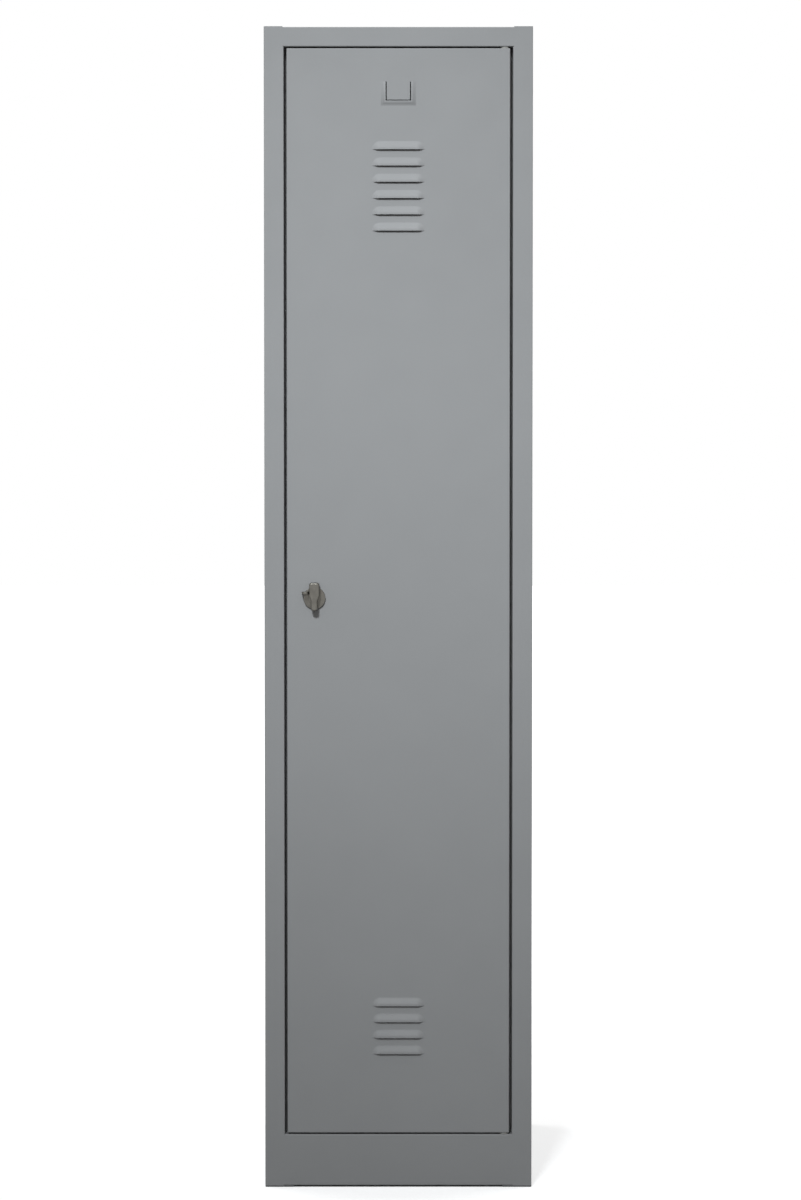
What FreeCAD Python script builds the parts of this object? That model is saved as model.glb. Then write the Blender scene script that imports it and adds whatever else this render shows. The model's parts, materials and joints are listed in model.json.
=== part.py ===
"""A single-door clothing locker in folded sheet steel, modelled piece by piece.

Lengths are in millimetres. X points right seen from the front, Y to the back and Z up. The origin is
on the floor under the middle of the case.
"""
import FreeCAD, Part
import math
import os
import re
import Sketcher

DIMENSIONS = [
    ("case_width", 415, "width of the case"),
    ("case_depth", 500, "depth of the case"),
    ("case_height", 1800, "height of the case with its feet"),
    ("gauge", 0.8, "sheet thickness"),
    ("bend", 1.6, "outer radius of a sheet bend"),
    ("overcut", 1, "how far a cut runs past the metal"),
    ("stile_width", 30.7, "width of the front stiles"),
    ("header_height", 30.1, "height of the band above the door"),
    ("header_drop", 1, "how far the top lies below the stile ends"),
    ("sill_height", 82.5, "floor to the sill under the door"),
    ("jamb_depth", 25, "depth of the door jamb"),
    ("stop_lip", 14, "width of the lip the door closes on"),
    ("lip_clearance", 0.2, "gap between neighbouring stop lips"),
    ("rear_flange", 15, "width of the rear flanges"),
    ("plinth_return", 18, "return under the plinth"),
    ("relief_height", 6, "bend relief at the sill corners"),
    ("foot_side", 46, "side of a foot"),
    ("foot_thick", 2.5, "thickness of a foot"),
    ("foot_rib", 20, "height of the rib on a foot"),
    ("foot_rib_thick", 3, "thickness of the rib on a foot"),
    ("link_radius", 3.5, "hole for joining two lockers"),
    ("link_inset", 60, "joining holes from front and back"),
    ("link_low", 300, "height of the lower joining holes"),
    ("link_high", 1500, "height of the upper joining holes"),
    ("wall_hole_radius", 4.5, "wall fixing hole"),
    ("wall_hole_spread", 240, "distance between the wall fixing holes"),
    ("wall_hole_height", 1700, "height of the wall fixing holes"),
    ("shelf_top", 1470, "height of the hat shelf"),
    ("shelf_setback", 60, "front of the case to the shelf"),
    ("shelf_drop", 25, "front fold of the shelf"),
    ("shelf_side", 20, "side fold of the shelf"),
    ("shelf_gap", 0.5, "air round the shelf"),
    ("bracket_gauge", 1.5, "thickness of a bracket"),
    ("bracket_bend", 2.5, "outer bend radius of a bracket"),
    ("bracket_drop", 25, "upright leg of a shelf bracket"),
    ("bracket_reach", 16, "seat of a shelf bracket"),
    ("bracket_width", 32, "length of a shelf bracket"),
    ("bracket_inset", 35, "shelf edge to the shelf bracket"),
    ("rail_drop", 80, "shelf to the middle of the rail"),
    ("rail_shift", 10, "rail behind the middle of the case"),
    ("rail_width", 15, "oval tube, small size"),
    ("rail_tall", 30, "oval tube, large size"),
    ("rail_wall", 1.2, "tube wall"),
    ("socket_plate", 3, "thickness of the socket plate"),
    ("socket_depth", 12, "depth of the socket"),
    ("socket_rim", 2.2, "wall of the socket"),
    ("socket_fit", 0.1, "clearance round the rail end"),
    ("socket_run", 22, "half the straight part of the socket plate"),
    ("socket_round", 13, "end radius of the socket plate"),
    ("screw_spread", 26, "rail middle to a socket screw"),
    ("screw_radius", 2, "shank of a socket screw"),
    ("screw_head", 4, "head radius of a socket screw"),
    ("screw_head_tall", 2.2, "head height of a socket screw"),
    ("screw_fit", 0.1, "clearance round a screw shank"),
    ("hook_pitch", 95, "distance between the hooks"),
    ("hook_width", 14, "width of a hook collar"),
    ("hook_fit", 0.25, "clearance between collar and rail"),
    ("hook_wall", 3, "wall of the hook collar"),
    ("hook_wire", 3, "radius of the hook arm"),
    ("hook_round", 10, "bend radius of the hook arm"),
    ("hook_root", 4, "hook arm from the middle of the stem"),
    ("hook_stem_wide", 15.2, "width of the hook stem"),
    ("hook_stem_thick", 7.2, "thickness of the hook stem"),
    ("hook_stem", 22, "straight stem of a hook"),
    ("hook_tip", 9, "straight tip of a hook"),
    ("hook_ball", 4, "ball on the tip of a hook"),
    ("side_gap", 4.3, "air beside the door"),
    ("top_gap", 2.5, "air above the door"),
    ("bottom_gap", 2.5, "air below the door"),
    ("door_depth", 20, "depth of the door pan"),
    ("door_return", 14, "return of the door pan"),
    ("corner_relief", 2, "open corner of the folded pan"),
    ("louvre_straight", 56, "straight length of a louvre"),
    ("louvre_rise", 14, "height of a louvre hood"),
    ("louvre_depth", 5, "how far a hood stands out"),
    ("louvre_nose", 2, "upright nose of a hood"),
    ("louvre_wall", 0.87, "sheet measured through the slope"),
    ("louvre_slot", 1.2, "slot below the nose"),
    ("louvre_root", 0.4, "how far a hood runs into the sheet"),
    ("louvre_pitch", 25, "distance between louvres"),
    ("upper_louvre", 1611, "slot of the highest upper louvre"),
    ("upper_count", 6, "number of upper louvres"),
    ("lower_louvre", 284, "slot of the highest lower louvre"),
    ("lower_count", 4, "number of lower louvres"),
    ("card_width", 56, "width of the card holder"),
    ("card_bottom", 1677.5, "foot of the card holder"),
    ("card_tall", 38, "height of the card holder"),
    ("card_lip", 10, "width of the window behind a card lip"),
    ("card_slit", 1.6, "slit along the free edge of a card lip"),
    ("card_lift", 2.5, "rise of a card lip"),
    ("card_joint", 2, "gap between the card lips"),
    ("stiffener_place", 105, "stiffener right of the middle"),
    ("stiffener_web", 40, "width of the stiffener"),
    ("stiffener_flange", 15, "flange of the stiffener"),
    ("stiffener_short", 18, "stiffener from the door ends"),
    ("pivot_inset", 8, "pivot from the door edge"),
    ("pivot_setback", 7.5, "pivot behind the front"),
    ("pin_radius", 3, "pivot pin"),
    ("pin_reach", 11.5, "pin inside the door"),
    ("pin_head", 5, "head radius of the pin"),
    ("pin_head_tall", 2, "head height of the pin"),
    ("pin_seat", 0.02, "clearance of the pin in its plate"),
    ("pin_fit", 0.05, "running clearance of the pin"),
    ("plate_thick", 2, "pivot plate thickness"),
    ("plate_reach", 20, "pivot plate towards the middle"),
    ("plate_edge", 10.5, "pivot plate towards the side"),
    ("bush_radius", 4.95, "sleeve of a hinge bush"),
    ("bush_fit", 0.05, "clearance round a hinge bush"),
    ("bush_flange", 6.8, "flange radius of a hinge bush"),
    ("bush_flange_tall", 2.2, "flange height of a hinge bush"),
    ("bush_reach", 12, "bush inside the door"),
    ("hinge_leg", 34, "legs of the hinge bracket"),
    ("hinge_inset", 2, "hinge bracket from front and back of the pan"),
    ("lock_inset", 42.5, "lock from the door edge"),
    ("lock_height", 919, "height of the lock"),
    ("housing_radius", 17, "lock housing"),
    ("housing_thick", 4, "front thickness of the lock housing"),
    ("housing_soft", 1.5, "rounding of the lock housing"),
    ("barrel_radius", 9.9, "threaded barrel"),
    ("barrel_fit", 0.1, "clearance round the barrel"),
    ("barrel_long", 24.8, "barrel behind the door front"),
    ("lock_washer_radius", 14, "lock washer"),
    ("lock_washer_thick", 1, "lock washer thickness"),
    ("lock_nut_flats", 26, "lock nut across flats"),
    ("lock_nut_thick", 6, "lock nut thickness"),
    ("spindle_radius", 5, "lock spindle"),
    ("spindle_fit", 0.05, "running clearance of the spindle"),
    ("spindle_square", 7, "square end of the spindle"),
    ("square_fit", 0.05, "clearance of the square"),
    ("boss_radius", 9, "boss of the handle"),
    ("boss_depth", 2, "boss inside the handle"),
    ("boss_gap", 0.3, "air between handle and housing"),
    ("grip_out", 17, "handle in front of the door"),
    ("grip_up", 24, "handle above the spindle"),
    ("grip_down", 19.5, "handle below the spindle"),
    ("grip_upper", 8, "half width of the upper handle"),
    ("grip_lower", 5, "half width of the lower handle"),
    ("grip_taper", 4, "half height of the taper"),
    ("grip_round", 4, "rounding of the handle ends"),
    ("grip_soft", 2.5, "rounding of the front of the handle"),
    ("eye_drop", 14, "padlock eye below the spindle"),
    ("eye_out", 11, "padlock eye in front of the door"),
    ("eye_radius", 3.5, "padlock eye"),
    ("staple_gap", 1, "air between handle and fixed eye"),
    ("staple_thick", 4, "thickness of the fixed eye"),
    ("staple_half", 5.5, "half width of the fixed eye"),
    ("staple_out", 16.5, "fixed eye in front of the door"),
    ("cam_setback", 26.5, "cam behind the door front"),
    ("cam_thick", 2.5, "cam thickness"),
    ("cam_reach", 46, "cam from the spindle"),
    ("cam_half", 9, "half width of the cam"),
    ("cam_corner", 5.4, "rounding of the cam's corners"),
    ("cam_screw_radius", 2, "shank of the cam screw"),
    ("cam_screw_long", 10, "length of the cam screw"),
    ("cam_screw_head", 6, "head radius of the cam screw"),
    ("cam_screw_head_tall", 3, "head height of the cam screw"),
    ("head_soft", 0.8, "rounding of a screw head"),
    ("spacer_radius", 8.5, "lock spacer"),
    ("buffer_radius", 5, "door buffer"),
    ("buffer_tall", 4, "height of a door buffer"),
    ("buffer_inset", 8.5, "buffer from the jamb"),
    ("buffer_low", 250, "height of the lowest buffer"),
    ("buffer_middle", 1050, "height of the middle buffer"),
    ("buffer_high", 1600, "height of the highest buffer"),
]

# Places worked out from the dimensions above
CASE_SIDE = "(case_width / 2)"
WALL_INSIDE = "(case_width / 2 - gauge)"
FRONT = "(-case_depth / 2)"
BACK = "(case_depth / 2)"
BACK_SHEET = "(case_depth / 2 - 2 * gauge)"
HEADER_TOP = "(case_height - header_drop)"
OPENING_SIDE = "(case_width / 2 - stile_width)"
OPENING_TOP = "(case_height - header_drop - header_height)"
FACE_SIDE = "(case_width / 2 - stile_width + bend)"
LIP_EDGE = "(case_width / 2 - stile_width - stop_lip)"
LIP_FRONT = "(jamb_depth - gauge - case_depth / 2)"
LIP_BACK = "(jamb_depth - case_depth / 2)"
FLOOR_TOP = "(sill_height + stop_lip + gauge)"
SHELF_SIDE = "(case_width / 2 - gauge - shelf_gap)"
SHELF_FRONT = "(shelf_setback - case_depth / 2)"
SHELF_BACK = "(case_depth / 2 - 2 * gauge - shelf_gap)"
SHELF_SEAT = "(shelf_top - shelf_side)"
RAIL_HEIGHT = "(shelf_top - rail_drop)"
SOCKET_FLOOR = "(case_width / 2 - gauge - socket_plate)"
HOOK_BEND = "(shelf_top - rail_drop - rail_tall / 2 - hook_fit - hook_wall - hook_stem)"
DOOR_SIDE = "(case_width / 2 - stile_width - side_gap)"
DOOR_TOP = "(case_height - header_drop - header_height - top_gap)"
DOOR_BOTTOM = "(sill_height + bottom_gap)"
DOOR_BACK = "(door_depth - case_depth / 2)"
SKIN_BACK = "(gauge - case_depth / 2)"
PIVOT_X = "(case_width / 2 - stile_width - side_gap - pivot_inset)"
PIVOT_Y = "(pivot_setback - case_depth / 2)"
LOCK_X = "(lock_inset - case_width / 2 + stile_width + side_gap)"
CAM_FRONT = "(cam_setback - case_depth / 2)"
CARD_LEFT = "(-card_width / 2)"
CARD_RIGHT = "(card_width / 2)"
CARD_TOP = "(card_bottom + card_tall)"
CARD_LIP_WIDTH = "(card_lip - card_slit)"
BEND_ROOM = "(2 * bend)"
PIVOT = (PIVOT_X, PIVOT_Y)

# Each plane: its role in a body and whether its normal points along the third axis or against it
PLANES = {"XY": ("XY_Plane", True), "YZ": ("YZ_Plane", True), "XZ": ("XZ_Plane", False)}
AXIS_ORDER = {"XY": (0, 1, 2), "YZ": (1, 2, 0), "XZ": (0, 2, 1)}
KNOWN_NAMES = {alias for alias, amount, meaning in DIMENSIONS}
SAME_PLACE = 0.001
EDGE_SAMPLES = 5
QUARTER_TURN = 90
HALF_TURN = 180
CUBIC_CENTIMETRE = 1000

doc = FreeCAD.newDocument("clothing_locker")
sizes = doc.addObject("Spreadsheet::Sheet", "Sizes")
for row, (alias, amount, meaning) in enumerate(DIMENSIONS, start=1):
    sizes.set(f"A{row}", meaning)
    sizes.set(f"B{row}", str(amount))
    sizes.setAlias(f"B{row}", alias)
doc.recompute()
pieces = {}


def formula(text):
    """Puts the sheet's name before every dimension named in a formula."""
    def named(found):
        word = found.group(0)
        return f"Sizes.{word}" if word in KNOWN_NAMES else word
    return re.sub(r"[a-z_]+", named, text)


def number(text):
    """The value of a formula at this moment."""
    return float(sizes.evalExpression(formula(text)))


def bind(item, prop, text):
    """Ties a property to a formula of the sheet's dimensions."""
    item.setExpression(prop, formula(text))


def new_piece(label):
    """A body that becomes one piece of the locker."""
    body = doc.addObject("PartDesign::Body", label)
    body.Label = label
    pieces[label] = body
    return body


def sketch_on(body, plane, level, origin=("0", "0")):
    """An empty sketch on a plane of the body, at a level along the plane's axis."""
    role, along = PLANES[plane]
    sketch = body.newObject("Sketcher::SketchObject", "Outline")
    base = next(item for item in body.Origin.OriginFeatures if item.Role == role)
    sketch.AttachmentSupport = [(base, "")]
    sketch.MapMode = "FlatFace"
    bind(sketch, "AttachmentOffset.Base.x", origin[0])
    bind(sketch, "AttachmentOffset.Base.y", origin[1])
    bind(sketch, "AttachmentOffset.Base.z", level if along else f"-({level})")
    return sketch


def fix_point(sketch, index, point, place):
    """Ties one point of the geometry to a place measured from the sketch origin."""
    for kind, text in (("DistanceX", place[0]), ("DistanceY", place[1])):
        key = sketch.addConstraint(Sketcher.Constraint(kind, -1, 1, index, point, number(text)))
        bind(sketch, f"Constraints[{key}]", text)


def polygon(sketch, points):
    """A closed outline of straight lines through the points."""
    spots = [FreeCAD.Vector(number(u), number(v), 0) for u, v in points]
    for here, there in zip(spots, spots[1:] + spots[:1]):
        sketch.addGeometry(Part.LineSegment(here, there), False)
    count = len(points)
    for index in range(count):
        sketch.addConstraint(Sketcher.Constraint("Coincident", index, 2, (index + 1) % count, 1))
    for index, place in enumerate(points):
        fix_point(sketch, index, 1, place)


def block(sketch, low, high):
    """A rectangle between two opposite corners."""
    polygon(sketch, [low, (high[0], low[1]), high, (low[0], high[1])])


def disc(sketch, centre, radius):
    """A circle."""
    middle = FreeCAD.Vector(number(centre[0]), number(centre[1]), 0)
    upright = FreeCAD.Vector(0, 0, 1)
    index = sketch.addGeometry(Part.Circle(middle, upright, number(radius)), False)
    fix_point(sketch, index, 3, centre)
    key = sketch.addConstraint(Sketcher.Constraint("Radius", index, number(radius)))
    bind(sketch, f"Constraints[{key}]", radius)


def oblong(sketch, centre, half_run, radius):
    """An upright oblong: two half circles joined by straight sides."""
    high = (centre[0], f"{centre[1]} + {half_run}")
    low = (centre[0], f"{centre[1]} - ({half_run})")
    upright = FreeCAD.Vector(0, 0, 1)
    top = FreeCAD.Vector(number(high[0]), number(high[1]), 0)
    bottom = FreeCAD.Vector(number(low[0]), number(low[1]), 0)
    across = FreeCAD.Vector(number(radius), 0, 0)
    upper_circle = Part.Circle(top, upright, number(radius))
    lower_circle = Part.Circle(bottom, upright, number(radius))
    upper = sketch.addGeometry(Part.ArcOfCircle(upper_circle, 0, math.pi), False)
    left = sketch.addGeometry(Part.LineSegment(top - across, bottom - across), False)
    lower = sketch.addGeometry(Part.ArcOfCircle(lower_circle, math.pi, 2 * math.pi), False)
    right = sketch.addGeometry(Part.LineSegment(bottom + across, top + across), False)
    for first, second in ((upper, left), (left, lower), (lower, right), (right, upper)):
        sketch.addConstraint(Sketcher.Constraint("Tangent", first, 2, second, 1))
    sketch.addConstraint(Sketcher.Constraint("Equal", upper, lower))
    fix_point(sketch, upper, 3, high)
    fix_point(sketch, lower, 3, low)
    key = sketch.addConstraint(Sketcher.Constraint("Radius", upper, number(radius)))
    bind(sketch, f"Constraints[{key}]", radius)


def sweep(body, feature, plane, start, end, draw, *shape):
    """Pads or pockets an outline between two levels along the plane's axis."""
    along = PLANES[plane][1]
    level = start if (feature == "Pad") == along else end
    sketch = sketch_on(body, plane, level)
    draw(sketch, *shape)
    item = body.newObject(f"PartDesign::{feature}", feature)
    item.Profile = sketch
    bind(item, "Length", f"({end}) - ({start})")
    doc.recompute()
    return item


def turn(body, feature, plane, level, origin, angle, reverse, draw, *shape):
    """Revolves an outline about the horizontal axis of its sketch."""
    sketch = sketch_on(body, plane, level, origin)
    draw(sketch, *shape)
    item = body.newObject(f"PartDesign::{feature}", feature)
    item.Profile = sketch
    item.ReferenceAxis = (sketch, ["H_Axis"])
    item.Angle = angle
    item.Reversed = reverse
    doc.recompute()
    return item


def round_edges(body, plane, corners, start, end, radius):
    """Rounds the edges that run along the plane's axis through the corners between two levels."""
    tip = body.Tip
    order = AXIS_ORDER[plane]
    places = [(number(u), number(v)) for u, v in corners]
    low = number(start) - SAME_PLACE
    high = number(end) + SAME_PLACE
    names = []
    for index, edge in enumerate(tip.Shape.Edges, start=1):
        ends = [[vertex.Point[axis] for axis in order] for vertex in edge.Vertexes]
        first = ends[0]
        last = ends[-1]
        straight = math.dist(first[:2], last[:2]) < SAME_PLACE < abs(first[2] - last[2])
        inside = low < min(first[2], last[2]) and max(first[2], last[2]) < high
        if straight and inside and any(math.dist(first[:2], place) < SAME_PLACE for place in places):
            names.append(f"Edge{index}")
    item = body.newObject("PartDesign::Fillet", "Bend")
    item.Base = (tip, names)
    bind(item, "Radius", radius)
    doc.recompute()


def round_rim(body, plane, level, radius):
    """Rounds every edge that lies at one level along the plane's axis."""
    tip = body.Tip
    axis = AXIS_ORDER[plane][2]
    place = number(level)
    names = []
    for index, edge in enumerate(tip.Shape.Edges, start=1):
        points = edge.discretize(EDGE_SAMPLES)
        if all(abs(point[axis] - place) < SAME_PLACE for point in points):
            names.append(f"Edge{index}")
    item = body.newObject("PartDesign::Fillet", "Rim")
    item.Base = (tip, names)
    bind(item, "Radius", radius)
    doc.recompute()


def fold(body, plane, path, start, end, gauge="gauge", bend="bend"):
    """Adds a folded sheet. The path follows one skin with the metal on its right-hand side."""
    spots = [(number(u), number(v)) for u, v in path]
    runs = []
    for here, there in zip(spots, spots[1:]):
        length = math.dist(here, there)
        runs.append((round((there[0] - here[0]) / length), round((there[1] - here[1]) / length)))
    other_skin = []
    outer = []
    inner = []
    for index, place in enumerate(path):
        beside = runs[max(index - 1, 0):index + 1]
        shift_u = sum(run[1] for run in beside)
        shift_v = -sum(run[0] for run in beside)
        behind = (f"{place[0]} + {shift_u} * {gauge}", f"{place[1]} + {shift_v} * {gauge}")
        other_skin.append(behind)
        if len(beside) == 2:
            left_turn = beside[0][0] * beside[1][1] - beside[0][1] * beside[1][0] > 0
            outer.append(behind if left_turn else place)
            inner.append(place if left_turn else behind)
    sweep(body, "Pad", plane, start, end, polygon, list(path) + other_skin[::-1])
    round_edges(body, plane, outer, start, end, bend)
    round_edges(body, plane, inner, start, end, f"{bend} - {gauge}")


def mirrored(label, source, axis, place):
    """A piece that is the mirror image of another about a plane across one axis."""
    item = doc.addObject("Part::Mirroring", label)
    item.Label = label
    item.Source = source
    item.Normal = FreeCAD.Vector(axis == "x", axis == "y", axis == "z")
    bind(item, f"Base.{axis}", place)
    doc.recompute()
    return item


def gather(label, members):
    """One piece that stands for several alike."""
    item = doc.addObject("Part::Compound", label)
    item.Label = label
    item.Links = members
    doc.recompute()
    pieces[label] = item


def loose_body(label):
    """A body that is only a member of a gathered piece."""
    body = doc.addObject("PartDesign::Body", label)
    body.Label = label
    return body


# Side panels: lip, jamb, stile, wall and rear flange in one sheet
left_side = new_piece("left_side_panel")
fold(left_side, "XY", [
    (f"-{LIP_EDGE}", LIP_FRONT),
    (f"-{OPENING_SIDE}", LIP_FRONT),
    (f"-{OPENING_SIDE}", FRONT),
    (f"-{CASE_SIDE}", FRONT),
    (f"-{CASE_SIDE}", BACK),
    (f"rear_flange - {CASE_SIDE}", BACK),
], "foot_thick", "case_height")
for start, end in (("0", "sill_height"), (OPENING_TOP, "case_height + overcut")):
    sweep(left_side, "Pocket", "XY", start, end, block,
          (f"-{FACE_SIDE}", f"{FRONT} - overcut"), (f"overcut - {LIP_EDGE}", f"{LIP_BACK} + overcut"))
for place_y in (f"{FRONT} + link_inset", f"{BACK} - link_inset"):
    for place_z in ("link_low", "link_high"):
        sweep(left_side, "Pocket", "YZ", f"-{CASE_SIDE} - overcut", f"overcut - {WALL_INSIDE}", disc,
              (place_y, place_z), "link_radius")
for place_z in (f"{RAIL_HEIGHT} - screw_spread", f"{RAIL_HEIGHT} + screw_spread"):
    sweep(left_side, "Pocket", "YZ", f"-{CASE_SIDE} - overcut", f"overcut - {WALL_INSIDE}", disc,
          ("rail_shift", place_z), "screw_radius + screw_fit")
pieces["right_side_panel"] = mirrored("right_side_panel", left_side, "x", "0")

# Top panel with the header over the door
top = new_piece("top_panel")
fold(top, "YZ", [
    (LIP_FRONT, f"{OPENING_TOP} - stop_lip"),
    (LIP_FRONT, OPENING_TOP),
    (FRONT, OPENING_TOP),
    (FRONT, HEADER_TOP),
    (BACK_SHEET, HEADER_TOP),
    (BACK_SHEET, f"{HEADER_TOP} - rear_flange"),
], f"-{FACE_SIDE}", FACE_SIDE)
fold(top, "XZ", [
    (f"-{WALL_INSIDE}", f"{HEADER_TOP} - rear_flange"),
    (f"-{WALL_INSIDE}", HEADER_TOP),
    (WALL_INSIDE, HEADER_TOP),
    (WALL_INSIDE, f"{HEADER_TOP} - rear_flange"),
], f"{FRONT} + {BEND_ROOM}", f"{BACK_SHEET} - {BEND_ROOM}")
for start, end in ((f"-{FACE_SIDE} - overcut", f"lip_clearance - {LIP_EDGE}"),
                   (f"{LIP_EDGE} - lip_clearance", f"{FACE_SIDE} + overcut")):
    sweep(top, "Pocket", "YZ", start, end, block,
          (f"{LIP_FRONT} - {BEND_ROOM}", f"{OPENING_TOP} - stop_lip - overcut"),
          (f"{LIP_BACK} + overcut", OPENING_TOP))
sweep(top, "Pocket", "XY", f"{OPENING_TOP} - overcut", f"{OPENING_TOP} + gauge + overcut", disc,
      PIVOT, "pin_radius + pin_seat")

# Plinth under the door with the sill and its lip
plinth = new_piece("plinth_panel")
fold(plinth, "YZ", [
    (f"{FRONT} + plinth_return", "foot_thick"),
    (FRONT, "foot_thick"),
    (FRONT, "sill_height"),
    (LIP_FRONT, "sill_height"),
    (LIP_FRONT, "sill_height + stop_lip"),
], f"-{FACE_SIDE}", FACE_SIDE)
for start, end in ((f"-{FACE_SIDE} - overcut", f"lip_clearance - {LIP_EDGE}"),
                   (f"{LIP_EDGE} - lip_clearance", f"{FACE_SIDE} + overcut")):
    sweep(plinth, "Pocket", "YZ", start, end, block,
          (f"{LIP_FRONT} - {BEND_ROOM}", "sill_height"),
          (f"{LIP_BACK} + overcut", "sill_height + stop_lip + overcut"))
for start, end in ((f"-{FACE_SIDE} - overcut", f"-{OPENING_SIDE}"),
                   (OPENING_SIDE, f"{FACE_SIDE} + overcut")):
    sweep(plinth, "Pocket", "YZ", start, end, block,
          (f"{FRONT} - overcut", "sill_height - relief_height"),
          (f"{FRONT} + {BEND_ROOM}", "sill_height + overcut"))
sweep(plinth, "Pocket", "XY", "sill_height - gauge - overcut", "sill_height + overcut", disc,
      PIVOT, "pin_radius + pin_seat")

# Floor panel behind the sill lip
floor = new_piece("floor_panel")
fold(floor, "YZ", [
    (LIP_BACK, f"{FLOOR_TOP} - rear_flange"),
    (LIP_BACK, FLOOR_TOP),
    (BACK_SHEET, FLOOR_TOP),
    (BACK_SHEET, f"{FLOOR_TOP} - rear_flange"),
], f"{BEND_ROOM} - {WALL_INSIDE}", f"{WALL_INSIDE} - {BEND_ROOM}")
fold(floor, "XZ", [
    (f"-{WALL_INSIDE}", f"{FLOOR_TOP} - rear_flange"),
    (f"-{WALL_INSIDE}", FLOOR_TOP),
    (WALL_INSIDE, FLOOR_TOP),
    (WALL_INSIDE, f"{FLOOR_TOP} - rear_flange"),
], f"{LIP_BACK} + {BEND_ROOM}", f"{BACK_SHEET} - {BEND_ROOM}")

# Back panel inside the rear flanges
back = new_piece("back_panel")
sweep(back, "Pad", "XZ", BACK_SHEET, f"{BACK_SHEET} + gauge", block,
      (f"bend - {WALL_INSIDE}", "foot_thick"), (f"{WALL_INSIDE} - bend", HEADER_TOP))
for place_x in ("-wall_hole_spread / 2", "wall_hole_spread / 2"):
    sweep(back, "Pocket", "XZ", f"{BACK_SHEET} - overcut", f"{BACK} + overcut", disc,
          (place_x, "wall_hole_height"), "wall_hole_radius")

# Hat shelf and the brackets it rests on
shelf = new_piece("hat_shelf")
fold(shelf, "YZ", [
    (f"{SHELF_FRONT} + rear_flange", "shelf_top - shelf_drop"),
    (SHELF_FRONT, "shelf_top - shelf_drop"),
    (SHELF_FRONT, "shelf_top"),
    (SHELF_BACK, "shelf_top"),
    (SHELF_BACK, "shelf_top - rear_flange"),
], f"{BEND_ROOM} - {SHELF_SIDE}", f"{SHELF_SIDE} - {BEND_ROOM}")
fold(shelf, "XZ", [
    (f"-{SHELF_SIDE}", SHELF_SEAT),
    (f"-{SHELF_SIDE}", "shelf_top"),
    (SHELF_SIDE, "shelf_top"),
    (SHELF_SIDE, SHELF_SEAT),
], f"{SHELF_FRONT} + {BEND_ROOM}", f"{SHELF_BACK} - {BEND_ROOM}")
bracket = loose_body("front_left_bracket")
fold(bracket, "XZ", [
    (f"-{WALL_INSIDE}", f"{SHELF_SEAT} - bracket_drop"),
    (f"-{WALL_INSIDE}", SHELF_SEAT),
    (f"bracket_reach - {WALL_INSIDE}", SHELF_SEAT),
], f"{SHELF_FRONT} + bracket_inset", f"{SHELF_FRONT} + bracket_inset + bracket_width",
    "bracket_gauge", "bracket_bend")
rear_bracket = mirrored("rear_left_bracket", bracket, "y", f"({SHELF_FRONT} + {SHELF_BACK}) / 2")
gather("shelf_brackets", [
    bracket,
    rear_bracket,
    mirrored("front_right_bracket", bracket, "x", "0"),
    mirrored("rear_right_bracket", rear_bracket, "x", "0"),
])

# Clothes rail with its sockets and screws
rail_centre = ("rail_shift", RAIL_HEIGHT)
rail_run = "(rail_tall - rail_width) / 2"
rail = new_piece("clothes_rail")
sweep(rail, "Pad", "YZ", f"-{SOCKET_FLOOR}", SOCKET_FLOOR, oblong, rail_centre, rail_run, "rail_width / 2")
sweep(rail, "Pocket", "YZ", f"-{SOCKET_FLOOR} - overcut", f"{SOCKET_FLOOR} + overcut", oblong,
      rail_centre, rail_run, "rail_width / 2 - rail_wall")
socket = new_piece("rail_socket_left")
sweep(socket, "Pad", "YZ", f"-{WALL_INSIDE}", f"-{SOCKET_FLOOR}", oblong,
      rail_centre, "socket_run", "socket_round")
sweep(socket, "Pad", "YZ", f"-{SOCKET_FLOOR}", f"socket_depth - {WALL_INSIDE}", oblong,
      rail_centre, rail_run, "rail_width / 2 + socket_fit + socket_rim")
sweep(socket, "Pocket", "YZ", f"-{SOCKET_FLOOR}", f"socket_depth + overcut - {WALL_INSIDE}", oblong,
      rail_centre, rail_run, "rail_width / 2 + socket_fit")
screws = []
for name, side in (("lower_rail_screw", "-"), ("upper_rail_screw", "+")):
    screw_place = ("rail_shift", f"{RAIL_HEIGHT} {side} screw_spread")
    sweep(socket, "Pocket", "YZ", f"-{WALL_INSIDE} - overcut", f"overcut - {SOCKET_FLOOR}", disc,
          screw_place, "screw_radius + screw_fit")
    screw = loose_body(name)
    sweep(screw, "Pad", "YZ", f"-{CASE_SIDE}", f"-{SOCKET_FLOOR}", disc, screw_place, "screw_radius")
    sweep(screw, "Pad", "YZ", f"-{SOCKET_FLOOR}", f"screw_head_tall - {SOCKET_FLOOR}", disc,
          screw_place, "screw_head")
    round_rim(screw, "YZ", f"screw_head_tall - {SOCKET_FLOOR}", "head_soft")
    screws.append(screw)
    screws.append(mirrored(f"right_{name}", screw, "x", "0"))
pieces["rail_socket_right"] = mirrored("rail_socket_right", socket, "x", "0")
gather("rail_screws", screws)

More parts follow.
